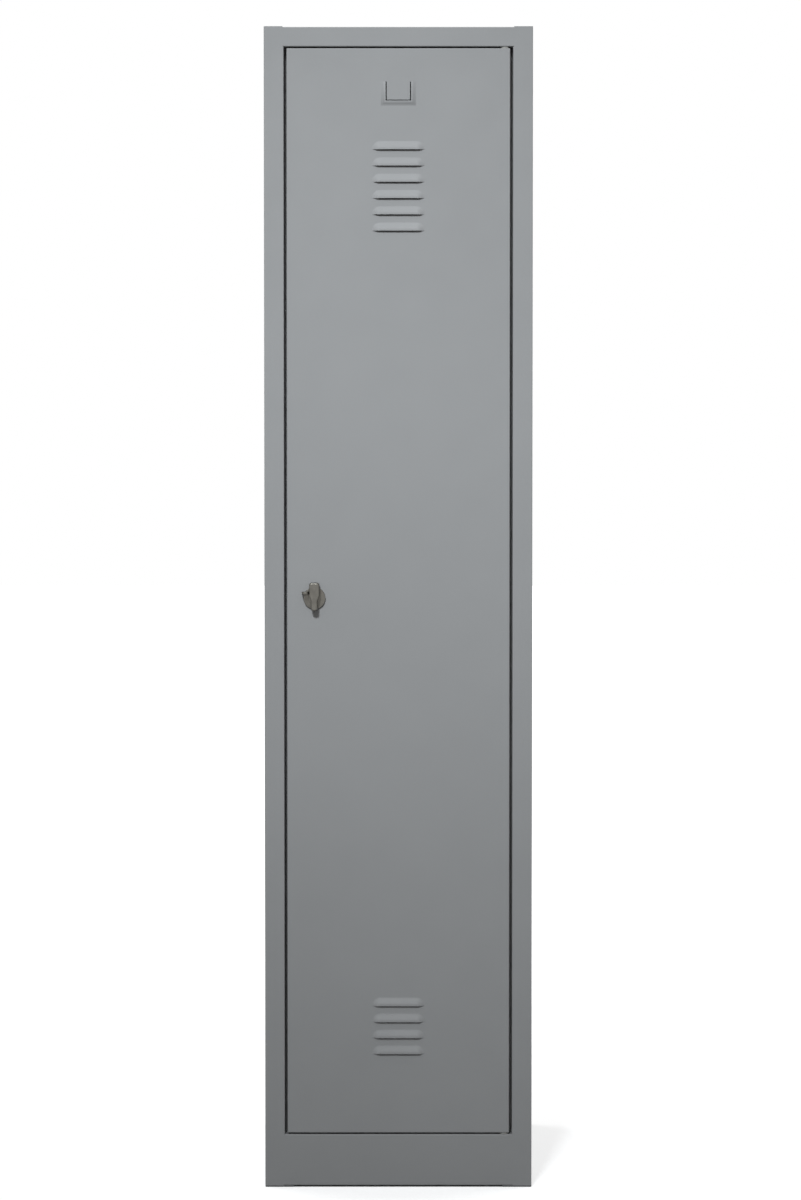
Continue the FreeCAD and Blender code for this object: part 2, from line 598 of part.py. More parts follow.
# Sliding hooks: a collar on the rail, a stem and two round arms
hook = new_piece("hook_middle")
collar_inner = "rail_width / 2 + hook_fit"
sweep(hook, "Pad", "YZ", "-hook_width / 2", "hook_width / 2", oblong,
      rail_centre, rail_run, f"{collar_inner} + hook_wall")
sweep(hook, "Pad", "XY", HOOK_BEND, f"{HOOK_BEND} + hook_stem + hook_wall / 2", block,
      ("-hook_stem_thick / 2", "rail_shift - hook_stem_wide / 2"),
      ("hook_stem_thick / 2", "rail_shift + hook_stem_wide / 2"))
sweep(hook, "Pocket", "YZ", "-hook_width / 2 - overcut", "hook_width / 2 + overcut", oblong,
      rail_centre, rail_run, collar_inner)
hook_plane = next(item for item in hook.Origin.OriginFeatures if item.Role == "XY_Plane")
for away, reverse in (("1", False), ("-1", True)):
    bend_centre = ("0", f"rail_shift + ({away}) * (hook_root + hook_round)")
    turn(hook, "Revolution", "XY", HOOK_BEND, bend_centre, HALF_TURN, reverse, disc,
         ("0", f"-({away}) * hook_round"), "hook_wire")
    tip_place = ("0", f"rail_shift + ({away}) * (hook_root + 2 * hook_round)")
    sweep(hook, "Pad", "XY", HOOK_BEND, f"{HOOK_BEND} + hook_tip", disc, tip_place, "hook_wire")
    ball = hook.newObject("PartDesign::AdditiveSphere", "Ball")
    ball.AttachmentSupport = [(hook_plane, "")]
    ball.MapMode = "FlatFace"
    bind(ball, "AttachmentOffset.Base.y", tip_place[1])
    bind(ball, "AttachmentOffset.Base.z", f"{HOOK_BEND} + hook_tip")
    bind(ball, "Radius", "hook_ball")
    doc.recompute()
pieces["hook_left"] = mirrored("hook_left", hook, "x", "-hook_pitch / 2")
pieces["hook_right"] = mirrored("hook_right", hook, "x", "hook_pitch / 2")

# Pivot plates and pins in the case
plate_low = (f"{PIVOT_X} - plate_reach", f"{FRONT} + 2 * gauge")
plate_high = (f"{PIVOT_X} + plate_edge", f"{LIP_FRONT} - bend")
lower_plate = new_piece("lower_pivot_plate")
sweep(lower_plate, "Pad", "XY", "sill_height - gauge - plate_thick", "sill_height - gauge", block,
      plate_low, plate_high)
sweep(lower_plate, "Pocket", "XY", "sill_height - gauge - plate_thick - overcut", "sill_height", disc,
      PIVOT, "pin_radius + pin_seat")
upper_plate = new_piece("upper_pivot_plate")
sweep(upper_plate, "Pad", "XY", f"{OPENING_TOP} + gauge", f"{OPENING_TOP} + gauge + plate_thick", block,
      plate_low, plate_high)
sweep(upper_plate, "Pocket", "XY", OPENING_TOP, f"{OPENING_TOP} + gauge + plate_thick + overcut", disc,
      PIVOT, "pin_radius + pin_seat")
lower_pin = new_piece("lower_pivot_pin")
lower_seat = "(sill_height - gauge - plate_thick)"
sweep(lower_pin, "Pad", "XY", lower_seat, f"{DOOR_BOTTOM} + pin_reach", disc, PIVOT, "pin_radius")
sweep(lower_pin, "Pad", "XY", f"{lower_seat} - pin_head_tall", lower_seat, disc, PIVOT, "pin_head")
upper_pin = new_piece("upper_pivot_pin")
upper_seat = f"({OPENING_TOP} + gauge + plate_thick)"
sweep(upper_pin, "Pad", "XY", f"{DOOR_TOP} - pin_reach", upper_seat, disc, PIVOT, "pin_radius")
sweep(upper_pin, "Pad", "XY", upper_seat, f"{upper_seat} + pin_head_tall", disc, PIVOT, "pin_head")

# Feet under the corners
for name, low_y, high_y, rib_low, rib_high in (
    ("front", FRONT, f"{FRONT} + foot_side", f"{FRONT} + foot_side / 2", f"{FRONT} + foot_side"),
    ("rear", f"{BACK} - foot_side", BACK, f"{BACK} - foot_side", f"{BACK} - foot_side / 2"),
):
    foot = new_piece(f"foot_{name}_left")
    sweep(foot, "Pad", "XY", "0", "foot_thick", block,
          (f"-{CASE_SIDE}", low_y), (f"foot_side - {CASE_SIDE}", high_y))
    sweep(foot, "Pad", "XY", "foot_thick", "foot_thick + foot_rib", block,
          (f"-{WALL_INSIDE}", rib_low), (f"foot_rib_thick - {WALL_INSIDE}", rib_high))
    pieces[f"foot_{name}_right"] = mirrored(f"foot_{name}_right", foot, "x", "0")

# Rubber buffers on the lock-side stop lip
buffers = []
for name in ("buffer_low", "buffer_middle", "buffer_high"):
    buffer = loose_body(f"{name}_disc")
    sweep(buffer, "Pad", "XZ", f"{LIP_FRONT} - buffer_tall", LIP_FRONT, disc,
          (f"buffer_inset - {OPENING_SIDE}", name), "buffer_radius")
    buffers.append(buffer)
gather("door_buffers", buffers)

# Door skin: a pan folded on four sides
door = new_piece("door_skin")
fold(door, "XY", [
    (f"door_return - {DOOR_SIDE}", DOOR_BACK),
    (f"-{DOOR_SIDE}", DOOR_BACK),
    (f"-{DOOR_SIDE}", FRONT),
    (DOOR_SIDE, FRONT),
    (DOOR_SIDE, DOOR_BACK),
    (f"{DOOR_SIDE} - door_return", DOOR_BACK),
][::-1], f"{DOOR_BOTTOM} + corner_relief", f"{DOOR_TOP} - corner_relief")
fold(door, "YZ", [
    (DOOR_BACK, f"{DOOR_BOTTOM} + door_return"),
    (DOOR_BACK, DOOR_BOTTOM),
    (FRONT, DOOR_BOTTOM),
    (FRONT, DOOR_TOP),
    (DOOR_BACK, DOOR_TOP),
    (DOOR_BACK, f"{DOOR_TOP} - door_return"),
], f"corner_relief - {DOOR_SIDE}", f"{DOOR_SIDE} - corner_relief")
sweep(door, "Pocket", "XZ", f"{FRONT} - overcut", f"{SKIN_BACK} + overcut", disc,
      (LOCK_X, "lock_height"), "barrel_radius + barrel_fit")
for start, end in ((f"{DOOR_BOTTOM} - overcut", f"{DOOR_BOTTOM} + gauge + overcut"),
                   (f"{DOOR_TOP} - gauge - overcut", f"{DOOR_TOP} + overcut")):
    sweep(door, "Pocket", "XY", start, end, disc, PIVOT, "bush_radius + bush_fit")

# Card holder: three lips lanced out of the skin
side_lip_foot = "card_bottom + card_lip + card_joint"
for edge, sense in ((CARD_LEFT, "+"), (CARD_RIGHT, "-")):
    free = f"{edge} {sense} {CARD_LIP_WIDTH}"
    sweep(door, "Pocket", "XZ", f"{FRONT} - overcut", f"{SKIN_BACK} + overcut", block,
          (edge, side_lip_foot), (f"{edge} {sense} card_lip", CARD_TOP))
    sweep(door, "Pad", "XY", side_lip_foot, CARD_TOP, polygon, [
        (edge, SKIN_BACK),
        (edge, FRONT),
        (free, f"{FRONT} - card_lift"),
        (free, f"{SKIN_BACK} - card_lift"),
    ])
sweep(door, "Pocket", "XZ", f"{FRONT} - overcut", f"{SKIN_BACK} + overcut", block,
      (CARD_LEFT, "card_bottom"), (CARD_RIGHT, "card_bottom + card_lip"))
sweep(door, "Pad", "YZ", CARD_LEFT, CARD_RIGHT, polygon, [
    (SKIN_BACK, "card_bottom"),
    (FRONT, "card_bottom"),
    (f"{FRONT} - card_lift", f"card_bottom + {CARD_LIP_WIDTH}"),
    (f"{SKIN_BACK} - card_lift", f"card_bottom + {CARD_LIP_WIDTH}"),
])

# Louvres: a sloping hood with rounded ends, open below
slope = "((louvre_rise - louvre_nose) / louvre_depth)"
hollow_back = "(gauge + louvre_root)"
hood = [
    ("louvre_root", "0"),
    ("-louvre_depth", "0"),
    ("-louvre_depth", "louvre_nose"),
    ("0", "louvre_rise"),
    ("louvre_root", "louvre_rise"),
]
hollow = [
    (hollow_back, "0"),
    ("louvre_wall - louvre_depth", "0"),
    ("louvre_wall - louvre_depth", "louvre_nose"),
    (hollow_back, f"louvre_nose + ({hollow_back} + louvre_depth - louvre_wall) * {slope}"),
]
left_end = "(-louvre_straight / 2)"
right_end = "(louvre_straight / 2)"
for slot_height, count in (("upper_louvre", "upper_count"), ("lower_louvre", "lower_count")):
    corner = (FRONT, slot_height)
    hood_points = [(f"{FRONT} + {u}", f"{slot_height} + {v}") for u, v in hood]
    hollow_points = [(f"{FRONT} + {u}", f"{slot_height} + {v}") for u, v in hollow]
    slot_low = (f"{FRONT} - louvre_root", f"{slot_height} - louvre_slot")
    slot_high = (f"{SKIN_BACK} + louvre_root", f"{slot_height} + gauge")
    features = [
        sweep(door, "Pad", "YZ", left_end, right_end, polygon, hood_points),
        turn(door, "Revolution", "YZ", right_end, corner, QUARTER_TURN, False, polygon, hood),
        turn(door, "Revolution", "YZ", left_end, corner, QUARTER_TURN, True, polygon, hood),
        sweep(door, "Pocket", "YZ", left_end, right_end, polygon, hollow_points),
        turn(door, "Groove", "YZ", right_end, corner, QUARTER_TURN, False, polygon, hollow),
        turn(door, "Groove", "YZ", left_end, corner, QUARTER_TURN, True, polygon, hollow),
        sweep(door, "Pocket", "YZ", left_end, right_end, block, slot_low, slot_high),
    ]
    rows = door.newObject("PartDesign::LinearPattern", "LouvreRow")
    rows.Originals = features
    rows.Direction = (next(item for item in door.Origin.OriginFeatures if item.Role == "Z_Axis"), [""])
    rows.Reversed = True
    bind(rows, "Length", f"({count} - 1) * louvre_pitch")
    bind(rows, "Occurrences", count)
    door.Tip = rows
    doc.recompute()

# Stiffener welded inside the door
stiffener = new_piece("door_stiffener")
seat = f"{SKIN_BACK} + gauge"
web = f"{DOOR_BACK} - 2 * gauge"
web_left = "(stiffener_place - stiffener_web / 2)"
web_right = "(stiffener_place + stiffener_web / 2)"
fold(stiffener, "XY", [
    (f"{web_left} - stiffener_flange", seat),
    (web_left, seat),
    (web_left, web),
    (web_right, web),
    (web_right, seat),
    (f"{web_right} + stiffener_flange", seat),
], f"{DOOR_BOTTOM} + stiffener_short", f"{DOOR_TOP} - stiffener_short")

# Hinge brackets and bushes in the door's corners
hinge_corner_x = f"({DOOR_SIDE} - gauge)"
hinge_corner_z = f"({DOOR_TOP} - gauge)"
hinge = new_piece("upper_hinge_bracket")
fold(hinge, "XZ", [
    (f"{hinge_corner_x} - hinge_leg", hinge_corner_z),
    (hinge_corner_x, hinge_corner_z),
    (hinge_corner_x, f"{hinge_corner_z} - hinge_leg"),
], f"{FRONT} + hinge_inset", f"{DOOR_BACK} - hinge_inset", "bracket_gauge", "bracket_bend")
sweep(hinge, "Pocket", "XY", f"{hinge_corner_z} - bracket_gauge - overcut", f"{hinge_corner_z} + overcut",
      disc, PIVOT, "bush_radius + bush_fit")
door_middle = f"({DOOR_TOP} + {DOOR_BOTTOM}) / 2"
pieces["lower_hinge_bracket"] = mirrored("lower_hinge_bracket", hinge, "z", door_middle)
bush = new_piece("upper_hinge_bush")
bush_foot = f"{DOOR_TOP} - bush_reach"
bush_head = f"{DOOR_TOP} + bush_flange_tall"
sweep(bush, "Pad", "XY", bush_foot, DOOR_TOP, disc, PIVOT, "bush_radius")
sweep(bush, "Pad", "XY", DOOR_TOP, bush_head, disc, PIVOT, "bush_flange")
sweep(bush, "Pocket", "XY", f"{bush_foot} - overcut", f"{bush_head} + overcut", disc,
      PIVOT, "pin_radius + pin_fit")
pieces["lower_hinge_bush"] = mirrored("lower_hinge_bush", bush, "z", door_middle)

# Lock housing on the door with the fixed padlock eye
lock_axis = (LOCK_X, "lock_height")
barrel_hole = "barrel_radius + barrel_fit"
housing_front = f"({FRONT} - housing_thick)"
staple_low = "(lock_height + grip_lower + staple_gap)"
staple_place = f"({LOCK_X} - eye_drop)"
housing = new_piece("lock_housing")
sweep(housing, "Pad", "XZ", housing_front, FRONT, disc, lock_axis, "housing_radius")
round_rim(housing, "XZ", housing_front, "housing_soft")
sweep(housing, "Pad", "XZ", FRONT, f"{FRONT} + barrel_long", disc, lock_axis, "barrel_radius")
sweep(housing, "Pad", "XZ", f"{FRONT} - staple_out", FRONT, block,
      (f"{staple_place} - staple_half", staple_low),
      (f"{staple_place} + staple_half", f"{staple_low} + staple_thick"))
sweep(housing, "Pocket", "XY", f"{staple_low} - overcut", f"{staple_low} + staple_thick + overcut", disc,
      (staple_place, f"{FRONT} - eye_out"), "eye_radius")
sweep(housing, "Pocket", "XZ", f"{housing_front} - overcut", f"{FRONT} + barrel_long + overcut", disc,
      lock_axis, "spindle_radius + spindle_fit")
washer = new_piece("lock_washer")
washer_back = f"({SKIN_BACK} + lock_washer_thick)"
sweep(washer, "Pad", "XZ", SKIN_BACK, washer_back, disc, lock_axis, "lock_washer_radius")
sweep(washer, "Pocket", "XZ", f"{SKIN_BACK} - overcut", f"{washer_back} + overcut", disc,
      lock_axis, barrel_hole)
nut = new_piece("lock_nut")
nut_half = "lock_nut_flats / 2"
nut_points = [
    (f"{LOCK_X} + {nut_half} * {across}", f"lock_height + {nut_half} * {up}")
    for across, up in (("1", "tan(30)"), ("0", "1 / cos(30)"), ("-1", "tan(30)"),
                       ("-1", "-tan(30)"), ("0", "-1 / cos(30)"), ("1", "-tan(30)"))
]
nut_back = f"{washer_back} + lock_nut_thick"
sweep(nut, "Pad", "XZ", washer_back, nut_back, polygon, nut_points)
sweep(nut, "Pocket", "XZ", SKIN_BACK, f"{nut_back} + overcut", disc, lock_axis, barrel_hole)

# Lock handle: spindle, boss and a grip with the turning padlock eye
handle = new_piece("lock_handle")
grip_back = f"({housing_front} - boss_gap)"
grip_front = f"({FRONT} - grip_out)"
cam_back = f"({CAM_FRONT} + cam_thick)"
sweep(handle, "Pad", "XZ", grip_front, grip_back, polygon, [
    (f"{LOCK_X} - grip_lower", "lock_height - grip_down"),
    (f"{LOCK_X} + grip_lower", "lock_height - grip_down"),
    (f"{LOCK_X} + grip_lower", "lock_height - grip_taper"),
    (f"{LOCK_X} + grip_upper", "lock_height + grip_taper"),
    (f"{LOCK_X} + grip_upper", "lock_height + grip_up"),
    (f"{LOCK_X} - grip_upper", "lock_height + grip_up"),
    (f"{LOCK_X} - grip_upper", "lock_height + grip_taper"),
    (f"{LOCK_X} - grip_lower", "lock_height - grip_taper"),
])
round_edges(handle, "XZ", [
    (f"{LOCK_X} - grip_lower", "lock_height - grip_down"),
    (f"{LOCK_X} + grip_lower", "lock_height - grip_down"),
    (f"{LOCK_X} + grip_upper", "lock_height + grip_up"),
    (f"{LOCK_X} - grip_upper", "lock_height + grip_up"),
], grip_front, grip_back, "grip_round")
round_rim(handle, "XZ", grip_front, "grip_soft")
sweep(handle, "Pad", "XZ", f"{grip_back} - boss_depth", grip_back, disc, lock_axis, "boss_radius")
sweep(handle, "Pad", "XZ", grip_back, CAM_FRONT, disc, lock_axis, "spindle_radius")
square = "spindle_square / 2"
sweep(handle, "Pad", "XZ", CAM_FRONT, f"{cam_back} - 2 * square_fit", block,
      (f"{LOCK_X} - {square}", f"lock_height - {square}"),
      (f"{LOCK_X} + {square}", f"lock_height + {square}"))
sweep(handle, "Pocket", "YZ", f"{LOCK_X} - grip_lower - overcut", f"{LOCK_X} + grip_lower + overcut", disc,
      (f"{FRONT} - eye_out", "lock_height - eye_drop"), "eye_radius")
sweep(handle, "Pocket", "XZ", f"{cam_back} - cam_screw_long - overcut", f"{cam_back} + overcut", disc,
      lock_axis, "cam_screw_radius + screw_fit")

# Spacer, cam and cam screw on the inner end of the spindle
spacer = new_piece("lock_spacer")
spacer_front = f"({FRONT} + barrel_long + screw_fit)"
sweep(spacer, "Pad", "XZ", spacer_front, CAM_FRONT, disc, lock_axis, "spacer_radius")
sweep(spacer, "Pocket", "XZ", f"{spacer_front} - overcut", f"{CAM_FRONT} + overcut", disc,
      lock_axis, "spindle_radius + screw_fit")
cam = new_piece("lock_cam")
cam_points = [
    (f"{LOCK_X} - cam_half", "lock_height - cam_reach"),
    (f"{LOCK_X} + cam_half", "lock_height - cam_reach"),
    (f"{LOCK_X} + cam_half", "lock_height + cam_half"),
    (f"{LOCK_X} - cam_half", "lock_height + cam_half"),
]
sweep(cam, "Pad", "XZ", CAM_FRONT, cam_back, polygon, cam_points)
round_edges(cam, "XZ", cam_points, CAM_FRONT, cam_back, "cam_corner")
hole = "(spindle_square / 2 + square_fit)"
sweep(cam, "Pocket", "XZ", f"{CAM_FRONT} - overcut", f"{cam_back} + overcut", block,
      (f"{LOCK_X} - {hole}", f"lock_height - {hole}"), (f"{LOCK_X} + {hole}", f"lock_height + {hole}"))
cam_screw = new_piece("cam_screw")
head_back = f"{cam_back} + cam_screw_head_tall"
sweep(cam_screw, "Pad", "XZ", f"{cam_back} - cam_screw_long", cam_back, disc, lock_axis, "cam_screw_radius")
sweep(cam_screw, "Pad", "XZ", cam_back, head_back, disc, lock_axis, "cam_screw_head")
round_rim(cam_screw, "XZ", head_back, "head_soft")

doc.recompute()
for item in doc.Objects:
    if "Invalid" in item.State or "Error" in item.State:
        raise RuntimeError(f"{item.Label} did not build: {item.State}")
os.makedirs("parts", exist_ok=True)
for label, piece in pieces.items():
    shape = piece.Shape
    if shape.isNull() or not shape.isValid() or not shape.Solids:
        raise RuntimeError(f"{label} has no valid solid")
    shape.exportStep(f"parts/{label}.step")
    box = shape.BoundBox
    spans = " ".join(f"{low:.1f}..{high:.1f}" for low, high in
                     ((box.XMin, box.XMax), (box.YMin, box.YMax), (box.ZMin, box.ZMax)))
    print(f"{label}: {len(shape.Solids)} solid, {shape.Volume / CUBIC_CENTIMETRE:.2f} cm3, {spans}")
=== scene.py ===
"""The looks of a single-door clothing locker: pressed door, latch, rail, hooks and finishes.

Lengths are in metres. X points right seen from the front, Y to the back and Z up.
"""
import bmesh
import bpy
import json
import math
from contextlib import contextmanager
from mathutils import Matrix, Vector

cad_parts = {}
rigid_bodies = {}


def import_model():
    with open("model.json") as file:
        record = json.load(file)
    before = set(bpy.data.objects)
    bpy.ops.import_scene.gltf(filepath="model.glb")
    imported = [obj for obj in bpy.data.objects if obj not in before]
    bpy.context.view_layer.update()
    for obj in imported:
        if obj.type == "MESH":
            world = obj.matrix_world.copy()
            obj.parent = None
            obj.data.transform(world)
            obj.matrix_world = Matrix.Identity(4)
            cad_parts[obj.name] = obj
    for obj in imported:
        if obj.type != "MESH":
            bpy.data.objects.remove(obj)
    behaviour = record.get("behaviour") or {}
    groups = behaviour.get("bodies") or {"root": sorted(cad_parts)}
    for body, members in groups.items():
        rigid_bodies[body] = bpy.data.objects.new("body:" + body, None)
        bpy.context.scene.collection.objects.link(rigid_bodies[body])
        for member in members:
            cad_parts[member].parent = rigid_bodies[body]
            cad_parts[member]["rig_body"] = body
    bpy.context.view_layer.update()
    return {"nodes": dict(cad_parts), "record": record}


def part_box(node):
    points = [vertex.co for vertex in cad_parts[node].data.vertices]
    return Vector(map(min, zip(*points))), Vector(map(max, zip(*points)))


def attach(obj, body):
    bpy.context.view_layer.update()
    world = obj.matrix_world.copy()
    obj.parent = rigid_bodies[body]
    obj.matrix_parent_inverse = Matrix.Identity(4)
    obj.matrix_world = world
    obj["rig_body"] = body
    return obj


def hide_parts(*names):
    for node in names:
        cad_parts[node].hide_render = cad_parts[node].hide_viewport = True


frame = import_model()

MM = 0.001
TINY = 0.01 * MM
ROUND_SIDES = 48
SMOOTH_ANGLE = math.radians(38)
QUARTER_TURN = math.pi / 2
HALF_TURN = math.pi
FULL_TURN = 2 * math.pi

# A direction counts as along an axis above the first share, and as across it below the second
ALONG = 0.9
ACROSS = 0.1

# Steps of a rounded edge
SMALL_ROUNDS = 2
EDGE_ROUNDS = 3
RIM_ROUNDS = 5
CORNER_ROUNDS = 8

# Places read from the frame
slot_of = {row["node"]: row["material_slot"] for row in frame["record"]["subparts"]}
case_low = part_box("left_side_panel")[0]
door_low, door_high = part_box("door_skin")
washer_low, washer_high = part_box("lock_washer")
front = case_low.y
lock_x = (washer_low.x + washer_high.x) / 2
lock_z = (washer_low.z + washer_high.z) / 2

# Sheet metal
GAUGE = 0.8 * MM
BEND = 1.6 * MM
BEND_ROUNDS = 5

# Rounded sections and screw heads
OVAL_ROUNDS = 12
OVAL_MERGE = 4 * TINY
HEAD_ROUND = 0.55
HEAD_HOLD = 1 / 3
RECESS_REACH = 0.6
RECESS_HALF = 0.13
RECESS_DEPTH = 0.6


@contextmanager
def editing(piece):
    """Opens one piece, and nothing else, in edit mode."""
    only(piece)
    bpy.ops.object.mode_set(mode="EDIT")
    yield
    bpy.ops.object.mode_set(mode="OBJECT")


def only(piece):
    """Makes one piece the selected and active one."""
    bpy.ops.object.select_all(action="DESELECT")
    piece.select_set(True)
    bpy.context.view_layer.objects.active = piece


def settle(name):
    """Names the primitive just added and puts its place into its mesh."""
    piece = bpy.context.active_object
    piece.name = name
    piece.data.name = name
    bpy.ops.object.transform_apply(location=True, rotation=True, scale=True)
    return piece


def block(name, low, high):
    """A block between two opposite corners."""
    low = Vector(low)
    high = Vector(high)
    bpy.ops.object.select_all(action="DESELECT")
    bpy.ops.mesh.primitive_cube_add(size=1, location=(low + high) / 2, scale=high - low)
    return settle(name)


def rod(name, foot, head, radius, sides=ROUND_SIDES):
    """A bar with round or many-sided section from foot to head."""
    foot = Vector(foot)
    head = Vector(head)
    along = head - foot
    bpy.ops.object.select_all(action="DESELECT")
    bpy.ops.mesh.primitive_cylinder_add(
        vertices=sides, radius=radius, depth=along.length, location=(foot + head) / 2,
        rotation=along.to_track_quat("Z", "Y").to_euler())
    return settle(name)


def trace(name, points, filled=True):
    """Draws a line through the points, one corner after the other, and fills it if it is an outline."""
    bpy.ops.object.select_all(action="DESELECT")
    bpy.ops.mesh.primitive_plane_add(size=1, location=points[0])
    piece = settle(name)
    with editing(piece):
        bpy.ops.mesh.select_mode(type="VERT")
        bpy.ops.mesh.select_all(action="SELECT")
        bpy.ops.mesh.merge(type="CENTER")
        for here, there in zip(points, points[1:]):
            step = Vector(there) - Vector(here)
            bpy.ops.mesh.extrude_vertices_move(TRANSFORM_OT_translate={"value": step})
        if filled:
            bpy.ops.mesh.select_all(action="SELECT")
            bpy.ops.mesh.edge_face_add()
    return piece


def pick(piece, kind, wanted):
    """Selects the corners, edges or faces whose middle and direction pass the test."""
    bpy.ops.mesh.select_mode(type=kind)
    bpy.ops.mesh.select_all(action="DESELECT")
    mesh = bmesh.from_edit_mesh(piece.data)
    if kind == "FACE":
        found = [face for face in mesh.faces if wanted(face.calc_center_median(), face.normal)]
    elif kind == "EDGE":
        found = []
        for edge in mesh.edges:
            first, second = edge.verts
            run = (second.co - first.co).normalized()
            if wanted((first.co + second.co) / 2, run):
                found.append(edge)
    else:
        found = [corner for corner in mesh.verts if wanted(corner.co, corner.normal)]
    for item in found:
        item.select_set(True)
    mesh.select_flush_mode()
    bmesh.update_edit_mesh(piece.data)


def soften(piece, width, wanted, rounds=EDGE_ROUNDS):
    """Rounds the edges that pass the test."""
    with editing(piece):
        pick(piece, "EDGE", wanted)
        bpy.ops.mesh.bevel(offset=width, segments=rounds, affect="EDGES", clamp_overlap=True)


def push(piece, wanted, step):
    """Extrudes the faces that pass the test."""
    with editing(piece):
        pick(piece, "FACE", wanted)
        bpy.ops.mesh.extrude_region_move(TRANSFORM_OT_translate={"value": step})


def tidy(piece, reach=TINY):
    """Merges doubled corners and turns every face outwards."""
    with editing(piece):
        bpy.ops.mesh.select_all(action="SELECT")
        bpy.ops.mesh.remove_doubles(threshold=reach)
        bpy.ops.mesh.normals_make_consistent(inside=False)


def spin_end(piece, wanted, centre, axis, angle, steps):
    """Sweeps the faces that pass the test round an axis."""
    with editing(piece):
        pick(piece, "FACE", wanted)
        bpy.ops.mesh.spin(steps=steps, angle=angle, center=centre, axis=axis)


def apply_modifier(piece, kind, **settings):
    """Adds a modifier with its settings and applies it."""
    only(piece)
    modifier = piece.modifiers.new(kind.title(), kind)
    for key, value in settings.items():
        setattr(modifier, key, value)
    bpy.ops.object.modifier_apply(modifier=modifier.name)


def combine(piece, tool, operation):
    """Cuts a tool out of a piece, welds it on or keeps what both share, and throws the tool away."""
    apply_modifier(piece, "BOOLEAN", operation=operation, solver="EXACT", object=tool)
    mesh = tool.data
    bpy.data.objects.remove(tool)
    bpy.data.meshes.remove(mesh)


def cut(piece, *tools):
    """Cuts tools out of a piece."""
    for tool in tools:
        combine(piece, tool, "DIFFERENCE")


def weld(piece, *parts):
    """Makes one closed skin of a piece and its parts."""
    for part in parts:
        combine(piece, part, "UNION")


def group(first, *others):
    """Joins separate solids into one object."""
    only(first)
    for other in others:
        other.select_set(True)
    bpy.ops.object.join()
    return first


def coat_piece(piece, slot, body):
    """Shades a piece, gives it a finish and lets it move with a body."""
    only(piece)
    bpy.ops.object.shade_smooth_by_angle(angle=SMOOTH_ANGLE)
    apply_modifier(piece, "WEIGHTED_NORMAL", keep_sharp=True)
    piece.data.materials.clear()
    piece.data.materials.append(finishes[slot])
    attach(piece, body)


def dress(piece, node):
    """Gives a piece the finish of its node and lets it stand for the node on its body."""
    coat_piece(piece, slot_of[node], frame["nodes"][node]["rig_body"])
    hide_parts(node)


def copy_of(piece, name):
    """A copy of a piece with its own mesh."""
    only(piece)
    bpy.ops.object.duplicate(linked=False)
    copy = bpy.context.active_object
    copy.name = name
    copy.data.name = name
    return copy


def shift(piece, step):
    """Moves the whole mesh of a piece."""
    with editing(piece):
        bpy.ops.mesh.select_all(action="SELECT")
        bpy.ops.transform.translate(value=step)


def turn_about(piece, centre):
    """Turns the whole mesh of a piece half round an upright axis."""
    with editing(piece):
        bpy.ops.mesh.select_all(action="SELECT")
        bpy.ops.transform.rotate(value=HALF_TURN, orient_axis="Z", center_override=centre)


def oval_bar(name, low, high):
    """A bar along X whose section ends in half circles above and below."""
    bar = block(name, low, high)
    round_off = (Vector(high) - Vector(low)).y / 2 - TINY
    soften(bar, round_off, lambda middle, run: abs(run.x) > ALONG, OVAL_ROUNDS)
    tidy(bar, OVAL_MERGE)
    return bar


def turned(name, outline, x, z):
    """A disc or ring turned about a line along Y, from an outline of radii and depths."""
    points = [(x + radius, depth, z) for radius, depth in outline]
    solid = outline[0][0] == 0
    piece = trace(name, points if solid else points + points[:1], filled=False)
    with editing(piece):
        bpy.ops.mesh.select_all(action="SELECT")
        bpy.ops.mesh.spin(steps=ROUND_SIDES, angle=FULL_TURN, center=(x, 0, z), axis=(0, 1, 0))
    tidy(piece)
    return piece


def screw(name, tip, seat, end, head, shank):
    """A screw with a rounded head, a cross recess and a plain shank."""
    tip = Vector(tip)
    seat = Vector(seat)
    end = Vector(end)
    inward = (seat - tip).normalized()
    piece = rod(name, seat, tip, head)
    tall = (seat - tip).length
    soften(piece, tall * HEAD_ROUND, lambda middle, run: abs((middle - tip).dot(inward)) < TINY, RIM_ROUNDS)
    weld(piece, rod(f"{name}_shank", seat - inward * tall * HEAD_HOLD, end, shank))
    along = Vector([abs(part) for part in inward])
    across = Vector((along.y, along.x, 0))
    upright = Vector((0, 0, 1))
    for blade, (wide, tall_side) in enumerate(((RECESS_REACH, RECESS_HALF), (RECESS_HALF, RECESS_REACH))):
        half = along * tall * RECESS_DEPTH + head * (across * wide + upright * tall_side)
        cut(piece, block(f"{name}_blade_{blade}", tip - half, tip + half))
    return piece


def ease(share):
    """A soft step from 0 to 1."""
    share = min(max(share, 0), 1)
    return share * share * (3 - 2 * share)


# Finishes

